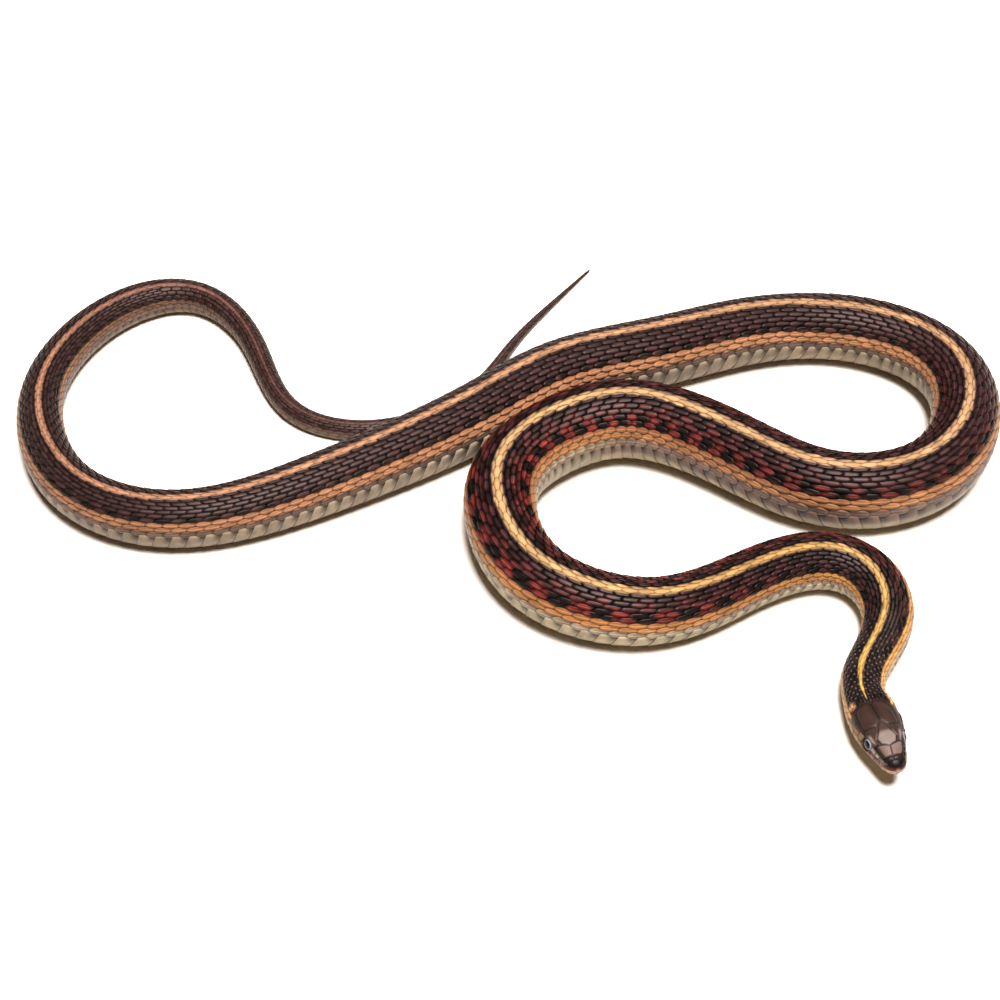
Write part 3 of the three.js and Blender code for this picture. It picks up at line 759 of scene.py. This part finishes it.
def sleeve(name, start, end, rings, sides):
    """A grid of faces wrapped round the body between two distances along it."""
    bpy.ops.mesh.primitive_grid_add(x_subdivisions=rings, y_subdivisions=sides, size=2)
    piece = bpy.context.object
    piece.name = name
    flat = np.zeros(len(piece.data.vertices) * 3)
    piece.data.vertices.foreach_get("co", flat)
    flat = flat.reshape(-1, 3)
    s = start + (end - start) * (flat[:, 0] + 1) / 2
    share = flat[:, 1].copy()
    rise, colour = skin_look(s, share)
    # The skin sinks under the coat, but not on the head, which has no scales over it
    points = on_surface(s, share, rise - SKIN_DEPTH * ease(-8, -2, s))
    for tip in (s < 0.01 - SNOUT, s > LENGTH - 0.01):
        points[tip] = points[tip].mean(0) if tip.any() else 0
    piece.data.vertices.foreach_set("co", (points * MM).ravel())
    paint(piece.data, "marking", colour)
    return piece


body_sleeve = sleeve("skin", NAPE, LENGTH, *BODY_GRID)
head_sleeve = sleeve("head_skin", -SNOUT, NAPE - 0.3, *HEAD_GRID)
print("two sleeves of", len(body_sleeve.data.polygons), "and", len(head_sleeve.data.polygons), "faces")

# %% Sew the sleeves together
for piece in (body_sleeve, head_sleeve):
    piece.select_set(True)
bpy.context.view_layer.objects.active = body_sleeve
bpy.ops.object.join()
skin = bpy.context.object
bpy.ops.object.mode_set(mode="EDIT")
bpy.ops.mesh.select_all(action="SELECT")
bpy.ops.mesh.remove_doubles(threshold=2e-6)
bpy.ops.mesh.select_all(action="DESELECT")
bpy.ops.mesh.select_non_manifold()
bpy.ops.mesh.bridge_edge_loops()
bpy.ops.mesh.select_all(action="SELECT")
bpy.ops.mesh.normals_make_consistent(inside=False)
bpy.ops.object.mode_set(mode="OBJECT")
bpy.ops.object.shade_smooth()
print("skin:", len(skin.data.vertices), "points,", len(skin.data.polygons), "faces")

# %% [markdown]
# ## One scale of the back
# A scale of the back is a narrow leaf with a low keel along its middle. Its root is tucked under
# the scale in front and its tip stands a little proud over the one behind. One is modelled from a
# small grid: rows are drawn in for the leaf's outline, the middle column is lifted for the keel,
# and the rim is extruded down, so that it is a closed plate with a real edge.

# %% Scale of the back
LEAF_WIDTHS = [0.6, 0.92, 1, 0.99, 0.87, 0.5]
LEAF_HEIGHTS = [-0.2, -0.1, -0.02, 0.05, 0.1, 0.11]


def fresh_grid(name, columns, rows):
    """A grid with x across from -1 to 1 and y along from 0 at the root to 1 at the tip."""
    bpy.ops.object.select_all(action="DESELECT")
    bpy.ops.mesh.primitive_grid_add(x_subdivisions=columns, y_subdivisions=rows, size=2)
    piece = bpy.context.object
    piece.name = name
    for vertex in piece.data.vertices:
        vertex.co.y = (vertex.co.y + 1) / 2
    return piece


def close_below(thickness, spread):
    """The rim is extruded down and the underside filled, with the whole turned outwards."""
    bpy.ops.object.mode_set(mode="EDIT")
    bpy.ops.mesh.select_all(action="DESELECT")
    bpy.ops.mesh.select_non_manifold()
    bpy.ops.mesh.extrude_edges_move(TRANSFORM_OT_translate={"value": (0, 0, -thickness)})
    bpy.ops.transform.resize(value=(spread, 1, 1))
    bpy.ops.mesh.edge_face_add()
    bpy.ops.mesh.select_all(action="SELECT")
    bpy.ops.mesh.normals_make_consistent(inside=False)
    bpy.ops.object.mode_set(mode="OBJECT")


def taken_apart(piece):
    """Vertices and faces of a modelled piece, which is then put away."""
    points = np.array([vertex.co for vertex in piece.data.vertices])
    faces = [list(face.vertices) for face in piece.data.polygons]
    bpy.data.objects.remove(piece)
    return points, faces


def leaf_scale(name, keel):
    """The modelled leaf, its keel as high as told, in millimetres of height."""
    piece = fresh_grid(name, 4, 5)
    for vertex in piece.data.vertices:
        row = round(vertex.co.y * 5)
        across = vertex.co.x
        vertex.co.z = LEAF_HEIGHTS[row] - 0.05 * across**2 + keel * (across == 0) * (row > 0)
        vertex.co.x = across * LEAF_WIDTHS[row]
        vertex.co.y += 0.035 * (across == 0) * (row == 5) - 0.03 * abs(across) * (row == 5)
    close_below(0.09, 0.9)
    return taken_apart(piece)


keeled = leaf_scale("keeled_scale", 0.075)
smooth = leaf_scale("smooth_scale", 0.012)
print("a scale has", len(keeled[1]), "faces")

# %% [markdown]
# ## Laying the scales
# The scales stand in rows along the body, each row half a step behind its neighbours,
# about three and a half millimetres apart along the back and closer on the neck and tail. They
# are copied by arrays of numbers: the place of each root along and round the body is worked out,
# then the points of the leaf are set on the surface there, so that every leaf bends with it.

# %% Scale rows
# Millimetres from one scale of a row to the next
PITCHES = [
    [-6, 1.45], [0, 1.7], [9, 2.1], [22, 2.7], [50, 3.25], [110, 3.35], [150, 3.35], [180, 3.65],
    [210, 3.75], [250, 3.6], [310, 3.75], [360, 3.85], [430, 3.64], [470, 3.36], [510, 3.2],
    [570, 2.75], [620, 2.6], [680, 2.4], [768, 1.7],
]
STEP = 0.25
step_s = np.arange(-8, LENGTH, STEP)
step_count = np.r_[0, np.cumsum(STEP / smooth_table(PITCHES, step_s[:-1] + STEP / 2))]
TAIL_START = 604
THIN_TAIL = 690
# Middles of the rows, in half widths from the ridge
ROW_CENTRES = [0, 0.1455, 0.3065, 0.4675, 0.6285, 0.7895, 0.9505, 1.1185, 1.2935]
SIDE_ROW = 1.5
# A scale is longer than its pitch and broader than its row, so that it laps over its neighbours
LAP_ALONG = 1.38
LAP_ACROSS = 0.63
chance = np.random.default_rng(7)
print("scales in the row along the ridge:", int(step_count[-1]))


def roots_between(start, end, stagger):
    """Distances along of the roots of one row."""
    first = np.interp(start, step_s, step_count)
    last = np.interp(end, step_s, step_count)
    return np.interp(np.arange(math.ceil(first - stagger), last - stagger) + stagger,
                     step_count, step_s)


def row_of_leaves(model, u, start, end, stagger, row_width):
    """One row of leaves at u half widths from the ridge, each row_width half widths across."""
    points, faces = model
    root = roots_between(start, end, stagger)
    pitch = smooth_table(PITCHES, root)
    width = smooth_table(HALF_WIDTHS, root)
    shift = 0.06 * (chance.random(len(root)) - 0.5)
    s = root[:, None] + (points[:, 1] * LAP_ALONG - 0.18 + shift[:, None]) * pitch[:, None]
    spread = points[:, 0] * row_width * LAP_ACROSS
    turned = u + spread + roll_at(root)[:, None]
    relief = np.clip(width / 7, 0.25, 1)[:, None] * points[:, 2]
    return points, faces, root, np.full(len(root), u), s, turned / HALF_ARC, relief - 0.02


# %% [markdown]
# ## Colours of the scales
# Each scale takes the marking at its own place, a little lighter or darker than its neighbours by
# chance, as real ones are. In the dark band its lower half is darker, a painted shade beside the lit
# upper half, which makes the rows read as rows. Each scale of the lowest row is grey-brown in front
# and cream at its tip, and those on the neck end in a pale dot.

# %% Colours of the scales
NECK_DOT = "#a08f8b"


def scale_colours(model_points, root_s, root_u, s, share, points):
    """Linear colours of the points of one batch of scales."""
    u = share * HALF_ARC - roll_at(s)
    held = np.where(np.abs(u - root_u[:, None]) < 2, u, root_u[:, None])
    colour = body_marking(root_s[:, None] * 0.35 + s * 0.65, held)
    colour = colour * (0.86 + 0.28 * chance.random((len(root_s), 1, 1)))
    in_band = (np.abs(root_u) > STRIPE_EDGE) & (np.abs(root_u) < BAND_EDGE)
    # Painted shade: in the dark band the lower half of each scale is darker than its lit upper half
    shaded_lower_half = ease(0, 0.06, np.abs(held) - np.abs(root_u)[:, None])
    colour = colour * (1 - 0.4 * in_band[:, None] * shaded_lower_half)[..., None]
    tip = ease(0.4, 0.75, model_points[:, 1] - 0.3 * np.abs(model_points[:, 0]))
    two_tone = (np.abs(root_u) == SIDE_ROW) * ease(70, 85, root_s) * ease(175, 160, root_s)
    cream = along_body(BELLY, s) * PICTURE_TO_SKIN
    colour = blend(colour, cream, 0.75 * two_tone[:, None] * tip)
    if root_s.min() < 0:
        local = (points - HEAD_ORIGIN) @ head_matrix
        colour = blend(colour, linear(NAPE_SPOT_COLOUR) * PICTURE_TO_SKIN, nape_spot(local))
        dot = 0.8 * ease(24, 6, root_s) * in_band
        dot = dot[:, None] * (model_points[:, 1] > 0.9) * (model_points[:, 2] > 0)
        colour = blend(colour, linear(NECK_DOT) * PICTURE_TO_SKIN, dot)
    return colour


print("a neck dot is", (linear(NECK_DOT) * PICTURE_TO_SKIN).round(2), "in linear colour")

# %% [markdown]
# ## Joining the scales
# Thousands of separate scales would slow Blender down, so each length of the coat is one mesh.
# Every point keeps its colour and how it lies on its own scale: across, along, and how broad the
# dark rim is there. A UV map unrolls the whole body into ten strips, one above another.

# %% Join and lay
STRIPS = 10


def unwrap(s, share):
    """Place on a flat unwrap of the body, folded into strips one above another."""
    strip_length = (LENGTH + 22) / STRIPS
    run = (s + 21) / strip_length
    strip = np.clip(np.floor(run), 0, STRIPS - 1)
    return np.stack([run - strip, (strip + (share + 1) / 2) / STRIPS], -1)


def lay_coat(name, batches):
    """Joins copies of modelled scales into one piece. Each batch has a model's points and faces,
    its roots' distances along and places round, and the points' distances, shares and heights."""
    all_points, all_faces, all_colours, all_lies, all_uv = [], [], [], [], []
    offset = 0
    for model_points, faces, root_s, root_u, s, share, height in batches:
        count, size = s.shape
        points = on_surface(s, share, height)
        colour = scale_colours(model_points, root_s, root_u, s, share, points)
        rim = outline_share(root_s, root_u)[:, None]
        lie = [np.broadcast_to(part, s.shape) for part in (*model_points.T[:2], rim)]
        root_share = (root_u + roll_at(root_s)) / HALF_ARC
        patch = np.stack([model_points[:, 0], model_points[:, 1] * 2 - 1], -1) * 0.0015
        starts = offset + np.arange(count) * size
        all_faces += [[start + v for v in face] for start in starts.tolist() for face in faces]
        all_points.append(points.reshape(-1, 3))
        all_colours.append(colour.reshape(-1, 3))
        all_lies.append(np.stack(lie, -1).reshape(-1, 3))
        all_uv.append((unwrap(root_s, root_share)[:, None] + patch).reshape(-1, 2))
        offset += count * size
    mesh = bpy.data.meshes.new(name)
    mesh.from_pydata((np.concatenate(all_points) * MM).tolist(), [], all_faces)
    paint(mesh, "marking", np.concatenate(all_colours))
    mesh.attributes.new("lie", "FLOAT_VECTOR", "POINT").data.foreach_set(
        "vector", np.concatenate(all_lies).ravel())
    corner = np.zeros(len(mesh.loops), int)
    mesh.loops.foreach_get("vertex_index", corner)
    bake = mesh.uv_layers.new(name="OFBake")
    bake.data.foreach_set("uv", np.concatenate(all_uv)[corner].ravel())
    piece = bpy.data.objects.new(name, mesh)
    bpy.context.scene.collection.objects.link(piece)
    mesh.shade_smooth()
    triangles = sum(len(face) - 2 for face in all_faces)
    print(name, "has", sum(len(batch[2]) for batch in batches), "scales,", triangles, "triangles")
    return piece


print("room for", STRIPS, "strips of", round((LENGTH + 22) / STRIPS), "mm")

# %% [markdown]
# ## The rows in place
# Nineteen rows of keeled scales cover the trunk, of which the lowest on each side is smooth and
# broader. The tail has fewer and fewer. The coat is laid in four lengths, so that no piece grows
# too heavy to handle.

# %% Lay the rows


def row_start(u):
    """The coat begins behind the plates of the head: last on the crown, first on the cheek."""
    return -4.4 if abs(u) < 0.8 else -6.2


def dorsal_rows(start, end):
    """The nineteen rows of the trunk: keeled on the back, smooth and broad in the lowest row."""
    rows = []
    for index, u in enumerate(ROW_CENTRES + [SIDE_ROW]):
        for side in ((1,) if u == 0 else (1, -1)):
            model = smooth if u == SIDE_ROW else keeled
            row_width = 0.25 if u == SIDE_ROW else 0.175 if u > 1 else 0.161
            first = max(start, row_start(u)) if start < 0 else start
            rows.append(row_of_leaves(model, side * u, first, end, index % 2 / 2, row_width))
    return rows


def tail_rows(start, end, count):
    """Fewer, broader rows on the tail, count of them on each side of the ridge."""
    rows = []
    spacing = 1.5 / count
    for index in range(count + 1):
        for side in ((1,) if index == 0 else (1, -1)):
            rows.append(row_of_leaves(keeled, side * index * spacing, start, end,
                                      index % 2 / 2, spacing * 1.06))
    return rows


coat = [
    lay_coat("scales_front", dorsal_rows(-7, 190)),
    lay_coat("scales_middle", dorsal_rows(190, 400)),
    lay_coat("scales_rear", dorsal_rows(400, TAIL_START)),
    lay_coat("scales_tail", tail_rows(TAIL_START, THIN_TAIL, 5) + tail_rows(THIN_TAIL, LENGTH - 3, 3)),
]

# %% [markdown]
# ## Belly scutes
# Under the body one wide plate follows another, as many as there are ribs, each lapping over the
# next. Their ends turn up on the sides, where they show as a cream band of slanted blocks with a
# dark notch between. On the tail they come in pairs. One plate is modelled from a long grid in
# the same way as the leaf, then copied along the belly.

# %% Belly scutes
PLATE_HEIGHTS = (-0.16, -0.04, 0.03, 0.08)
# Where the plates end on the sides, in half widths round from the ridge
PLATE_END = 1.57
# The ends of a plate lie this far in front of its middle, in pitches
SWEEP = 0.45


def belly_plate():
    """One plate, its cross columns crowded towards the ends, where it bends up."""
    piece = fresh_grid("belly_plate", 14, 3)
    for vertex in piece.data.vertices:
        vertex.co.z = PLATE_HEIGHTS[round(vertex.co.y * 3)]
        vertex.co.x = math.copysign(abs(vertex.co.x) ** 0.55, vertex.co.x)
    close_below(0.08, 1)
    return taken_apart(piece)


plate = belly_plate()


def belly_run(start, end, sides):
    """Plates between two distances along, whole or as left and right halves."""
    points, faces = plate
    batches = []
    for side in sides:
        root = roots_between(start, end, 0.25 * side)
        pitch = smooth_table(PITCHES, root)[:, None]
        width = smooth_table(HALF_WIDTHS, root)[:, None]
        roll = roll_at(root)[:, None]
        across = points[:, 0] if side == 0 else side * (0.02 + 0.98 * (points[:, 0] + 1) / 2)
        from_middle = HALF_ARC - PLATE_END + np.where(across >= 0, -roll, roll)
        share = np.where(across >= 0, 1, -1) * (1 - np.abs(across) * from_middle / HALF_ARC)
        sweep = SWEEP * (1 - np.clip((np.abs(across) - 0.6) / 0.4, 0, 1))
        s = root[:, None] + (points[:, 1] * 1.3 - 0.2 + sweep) * pitch
        relief = np.clip(width / 7, 0.25, 1) * points[:, 2]
        batches.append((points, faces, root, np.full(len(root), 2.6 if side >= 0 else -2.6),
                        s, share, relief - 0.02))
    return batches


belly_coat = lay_coat("belly_scutes", belly_run(-3, TAIL_START, (0,))
                      + belly_run(TAIL_START, LENGTH - 2, (-1, 1)))

# %% [markdown]
# ## Eyes
# A snake has no lids: a clear scale covers each eye, so it is always open and glossy. The pupil
# is large and round, with a thin pale ring round it. A ball primitive is flattened to a lens, set
# in its socket and turned a little forward and up. How far each point lies from the pupil's
# middle is kept on the mesh, and the material draws pupil and ring from it.

# %% Eyes
EYE_TURN = math.radians(14)


def eye(name, side):
    """A lens in its socket; side is 1 on the left and -1 on the right."""
    bpy.ops.object.select_all(action="DESELECT")
    bpy.ops.mesh.primitive_uv_sphere_add(segments=48, ring_count=24, radius=1)
    piece = bpy.context.object
    piece.name = name
    bpy.ops.object.mode_set(mode="EDIT")
    bpy.ops.mesh.select_all(action="SELECT")
    bpy.ops.transform.resize(value=(EYE_RADIUS, EYE_RADIUS, EYE_DEPTH))
    bpy.ops.object.mode_set(mode="OBJECT")
    points = np.array([vertex.co for vertex in piece.data.vertices])
    # The back half gets 2, which is past the last ring
    gaze = np.where(points[:, 2] > 0, np.hypot(points[:, 0], points[:, 1]) / EYE_RADIUS, 2)
    layer = piece.data.attributes.new("gaze", "FLOAT", "POINT")
    layer.data.foreach_set("value", gaze)
    level = math.cos(EYE_TURN)
    turn = math.sin(EYE_TURN)
    outward = np.array([turn * level, side * level * level, turn])
    forward = np.array([level, -side * turn, 0])
    up = np.cross(outward, forward) * side
    turned = points @ np.array([forward, up * side, outward])
    local = turned + EYE * [1, side, 1]
    piece.data.vertices.foreach_set("co", ((local @ head_matrix.T + HEAD_ORIGIN) * MM).ravel())
    bpy.ops.object.mode_set(mode="EDIT")
    bpy.ops.mesh.select_all(action="SELECT")
    bpy.ops.mesh.normals_make_consistent(inside=False)
    bpy.ops.object.mode_set(mode="OBJECT")
    bpy.ops.object.shade_smooth()
    return piece


eyes = [eye("left_eye", 1), eye("right_eye", -1)]
print("eyes", round(EYE_RADIUS * 2, 1), "mm across")

# %% [markdown]
# ## Finishes
# Snake skin is keratin, the stuff of fingernails: a little translucent, satin rather than glossy,
# with fine lines along each scale. The markings are already on the meshes, so the finish only
# adds what light does on them: cloudy patches a few millimetres wide, a grain of a third of a
# millimetre, drawn coarser than real so that it shows, and a sheen that differs from place to
# place. One small function adds a node with its settings and links.

# %% Skin finish
KERATIN_IOR = 1.5
SKIN_SHEEN = "#ffeae1"
CLOUD_MM = 2.6
GRAIN_MM = 0.3
GRAIN_BUMP_MM = 0.02


def add(tree, kind, links=None, values=None, **properties):
    """Adds a node with its properties, its inputs' values, and the sockets linked into it."""
    node = tree.nodes.new(kind)
    for name, value in properties.items():
        setattr(node, name, value)
    for name, value in (values or {}).items():
        node.inputs[name].default_value = value
    for name, socket in (links or {}).items():
        tree.links.new(socket, node.inputs[name])
    return node


def opaque(code):
    """Linear RGBA of an sRGB hex value."""
    return (*linear(code), 1)


def new_material(name):
    """A material with its node tree and its shader."""
    material = bpy.data.materials.new(name)
    material.use_nodes = True
    return material, material.node_tree, material.node_tree.nodes["Principled BSDF"]


def satin_skin(name, roughest, smoothest, variation):
    """A satin skin finish: colour from the mesh, cloudy variation, and a fine grain."""
    material, tree, shader = new_material(name)
    shader.inputs["IOR"].default_value = KERATIN_IOR
    shader.inputs["Specular IOR Level"].default_value = 0.12
    shader.inputs["Specular Tint"].default_value = opaque(SKIN_SHEEN)
    marking = add(tree, "ShaderNodeAttribute", attribute_name="marking")
    place = add(tree, "ShaderNodeTexCoord").outputs["Object"]
    grain = add(tree, "ShaderNodeTexNoise", {"Vector": place},
                {"Scale": 1 / (GRAIN_MM * MM), "Detail": 3.0})
    cloud = add(tree, "ShaderNodeTexNoise", {"Vector": place},
                {"Scale": 1 / (CLOUD_MM * MM), "Detail": 3.0})
    lightness = add(tree, "ShaderNodeMapRange", {"Value": cloud.outputs["Fac"]},
                    {"From Min": 0.3, "From Max": 0.7, "To Min": 1 - variation,
                     "To Max": 1 + variation})
    colour = add(tree, "ShaderNodeVectorMath",
                 {0: marking.outputs["Color"], "Scale": lightness.outputs[0]}, operation="SCALE")
    rough = add(tree, "ShaderNodeMapRange", {"Value": grain.outputs["Fac"]},
                {"To Min": smoothest, "To Max": roughest})
    bump = add(tree, "ShaderNodeBump", {"Height": grain.outputs["Fac"]},
               {"Strength": 0.6, "Distance": GRAIN_BUMP_MM * MM})
    tree.links.new(colour.outputs[0], shader.inputs["Base Color"])
    tree.links.new(rough.outputs[0], shader.inputs["Roughness"])
    tree.links.new(bump.outputs[0], shader.inputs["Normal"])
    return material, tree, shader, colour


def wear(piece, material):
    """Gives a piece its one material."""
    piece.data.materials.clear()
    piece.data.materials.append(material)


bare_skin = satin_skin("bare skin and head plates", 0.5, 0.3, 0.15)[0]
wear(skin, bare_skin)
print(bare_skin.name, "has", len(bare_skin.node_tree.nodes), "nodes")

# %% [markdown]
# ## Rims, keels and notches
# Each scale of the back has a dark rim, as the skin between the scales shows round it, and a pale
# streak along its keel, a painted highlight. Each belly plate is dark in front at its two ends. Both
# are drawn from the attribute that tells how a point lies on its scale, so that they follow every
# scale, however it is bent.

# %% Finishes of the scales
RIM_DARKNESS = 0.55
PAINTED_KEEL_HIGHLIGHT = 3.2
# Strength of the painted highlight along the keel
NOTCH_DARKNESS = 0.85


def scale_finish(name, shade_of):
    """The satin finish, its colour scaled by a shade drawn from the place on each scale."""
    material, tree, shader, colour = satin_skin(name, 0.52, 0.32, 0.22)
    lie = add(tree, "ShaderNodeAttribute", attribute_name="lie")
    axes = add(tree, "ShaderNodeSeparateXYZ", {0: lie.outputs["Vector"]}).outputs
    side = add(tree, "ShaderNodeMath", {0: axes["X"]}, operation="ABSOLUTE").outputs[0]
    shaded = add(tree, "ShaderNodeVectorMath",
                 {0: colour.outputs[0], "Scale": shade_of(tree, side, axes["Y"], axes["Z"])},
                 operation="SCALE")
    tree.links.new(shaded.outputs[0], shader.inputs["Base Color"])
    return material


def notched(tree, side, along, rim):
    """Shade of a belly plate: dark in front, towards both ends. It has no rim."""
    end = add(tree, "ShaderNodeMapRange", {"Value": side},
              {"From Min": 0.7, "From Max": 0.92, "To Min": 0.0, "To Max": NOTCH_DARKNESS})
    front = add(tree, "ShaderNodeMapRange", {"Value": along},
                {"From Min": 0.42, "From Max": 0.64, "To Min": 1.0, "To Max": 0.0})
    both = add(tree, "ShaderNodeMath", {0: end.outputs[0], 1: front.outputs[0]},
               operation="MULTIPLY")
    return add(tree, "ShaderNodeMath", {1: both.outputs[0]}, {0: 1.0},
               operation="SUBTRACT").outputs[0]


def rimmed_and_keeled(tree, side, along, rim):
    """Shade of a scale of the back: dark at its rim, with a painted highlight on its keel."""
    # The part that shows runs from 0.2 to 1.02 along; here it becomes -1 to 1
    shown = add(tree, "ShaderNodeMapRange", {"Value": along},
                {"From Min": 0.2, "From Max": 1.02, "To Min": -1.0, "To Max": 1.0},
                clamp=False).outputs[0]
    # A squarish distance from its middle: the cube root of two cubes, 1 at the border
    length = add(tree, "ShaderNodeMath", {0: shown}, operation="ABSOLUTE").outputs[0]
    cubes = [add(tree, "ShaderNodeMath", {0: part}, {1: 3.0}, operation="POWER").outputs[0]
             for part in (side, length)]
    total = add(tree, "ShaderNodeMath", {0: cubes[0], 1: cubes[1]}, operation="ADD")
    far = add(tree, "ShaderNodeMath", {0: total.outputs[0]}, {1: 1 / 3}, operation="POWER")
    border = add(tree, "ShaderNodeMath", {0: far.outputs[0], 1: rim}, operation="ADD")
    edge = add(tree, "ShaderNodeMapRange", {"Value": border.outputs[0]},
               {"From Min": 1.0, "From Max": 1.3, "To Min": 1.0, "To Max": 1 - RIM_DARKNESS})
    # Painted highlight along the keel, brighter where the rim is broader
    keel_highlight = add(tree, "ShaderNodeMapRange", {"Value": side},
                {"From Min": 0.0, "From Max": 0.24, "To Min": PAINTED_KEEL_HIGHLIGHT, "To Max": 0.0})
    ridge = add(tree, "ShaderNodeMath", {0: keel_highlight.outputs[0], 1: rim}, {2: 1.0},
                operation="MULTIPLY_ADD")
    return add(tree, "ShaderNodeMath", {0: edge.outputs[0], 1: ridge.outputs[0]},
               operation="MULTIPLY").outputs[0]


back_keratin = scale_finish("keeled keratin", rimmed_and_keeled)
belly_keratin = scale_finish("smooth belly keratin", notched)
for piece in coat:
    wear(piece, back_keratin)
wear(belly_coat, belly_keratin)
print(back_keratin.name, "on", len(coat), "pieces,", belly_keratin.name, "on one")

# %% [markdown]
# ## Finish of the eyes
# The eye is wet-looking: a clear scale lies over a black pupil and a thin grey ring, and beyond
# the ring the iris is brown. A ramp over the distance from the pupil's middle draws them, and a
# little noise keeps the ring from being a perfect circle.

# %% Eye finish
SPECTACLE_IOR = 1.38
EYE_RINGS = [(0.0, "#050506"), (0.64, "#050506"), (0.7, "#73767d"), (0.8, "#5b5d62"),
             (0.88, "#43352e"), (1.0, "#15100d")]
cornea, tree, shader = new_material("clear spectacle over the eye")
shader.inputs["Roughness"].default_value = 0.12
shader.inputs["IOR"].default_value = SPECTACLE_IOR
shader.inputs["Specular IOR Level"].default_value = 0.15
shader.inputs["Coat Weight"].default_value = 0.12
shader.inputs["Coat Roughness"].default_value = 0.03
gaze = add(tree, "ShaderNodeAttribute", attribute_name="gaze")
fleck = add(tree, "ShaderNodeTexNoise",
            {"Vector": add(tree, "ShaderNodeTexCoord").outputs["Object"]},
            {"Scale": 1 / (GRAIN_MM * MM), "Detail": 2.0})
wobble = add(tree, "ShaderNodeMapRange", {"Value": fleck.outputs["Fac"]},
             {"To Min": -0.05, "To Max": 0.05})
reach = add(tree, "ShaderNodeMath", {0: gaze.outputs["Fac"], 1: wobble.outputs[0]},
            operation="ADD")
ramp = add(tree, "ShaderNodeValToRGB", {0: reach.outputs[0]})
for position, code in EYE_RINGS[2:]:
    ramp.color_ramp.elements.new(position)
for element, (position, code) in zip(ramp.color_ramp.elements, EYE_RINGS):
    element.position = position
    element.color = opaque(code)
tree.links.new(ramp.outputs["Color"], shader.inputs["Base Color"])
for piece in eyes:
    wear(piece, cornea)
print(cornea.name, "has", len(ramp.color_ramp.elements), "rings")

# %% [markdown]
# ## Floor
# The snake lies on a plain pale ground, as on a sheet of matt paper, with only a faint mottle. It
# is a little warm, so that the shadow under the animal turns brown rather than grey.

# %% Floor
bpy.ops.object.select_all(action="DESELECT")
bpy.ops.mesh.primitive_plane_add(size=6, location=(0, 0, 0))
floor = bpy.context.object
floor.name = "floor"
paper, tree, shader = new_material("matt white paper")
shader.inputs["Roughness"].default_value = 0.8
fibre = add(tree, "ShaderNodeTexNoise",
            {"Vector": add(tree, "ShaderNodeTexCoord").outputs["Object"]}, {"Scale": 30.0})
tone = add(tree, "ShaderNodeValToRGB", {0: fibre.outputs["Fac"]})
tone.color_ramp.elements[0].color = opaque("#e1d8ce")
tone.color_ramp.elements[1].color = opaque("#e3dbd1")
tree.links.new(tone.outputs["Color"], shader.inputs["Base Color"])
wear(floor, paper)
print("floor", [round(side, 1) for side in floor.dimensions], "m")

# %% [markdown]
# ## Light
# One softbox hangs high up and a little towards the camera. It is strong enough to turn the
# ground white up to the animal, while a thin dark line shows where the belly rests, and the
# lifted chin throws a short brown shadow. Faint warm surroundings fill the shadows.

# %% Light
SOFTBOX_PLACE = (0.12, -0.23, 1.1)
SOFTBOX_SIZE = 0.4
SOFTBOX_POWER = 46

scene = bpy.context.scene
scene.view_settings.view_transform = "Standard"
world = bpy.data.worlds.new("soft surroundings")
world.use_nodes = True
background = world.node_tree.nodes["Background"]
background.inputs["Color"].default_value = opaque("#ffd7b8")
background.inputs["Strength"].default_value = 0.06
scene.world = world

softbox_data = bpy.data.lights.new("softbox", "AREA")
softbox_data.shape = "SQUARE"
softbox_data.size = SOFTBOX_SIZE
softbox_data.energy = SOFTBOX_POWER
softbox = bpy.data.objects.new("softbox", softbox_data)
scene.collection.objects.link(softbox)
softbox.location = SOFTBOX_PLACE
softbox.rotation_euler = Vector(SOFTBOX_PLACE).to_track_quat("Z", "Y").to_euler()
print("softbox", round(softbox.location.length, 2), "m from the middle of the snake")

# %% [markdown]
# ## Riding the frame
# The solids of flesh are hidden, since the skin stands in for them, and so are the two solid eyes,
# since each eye stands in for its own. The scales lie over them and stand for none. Every piece then
# hangs from the root of the frame.

# %% Ride the frame
flesh = [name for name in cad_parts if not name.startswith("eye_")]
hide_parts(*flesh)
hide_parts("eye_left")
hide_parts("eye_right")
for piece, slot in [(skin, "body"), (belly_coat, "body"), *zip(coat, ["body"] * 3 + ["tail"]),
                    *((piece, "eye") for piece in eyes)]:
    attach(piece, "root")
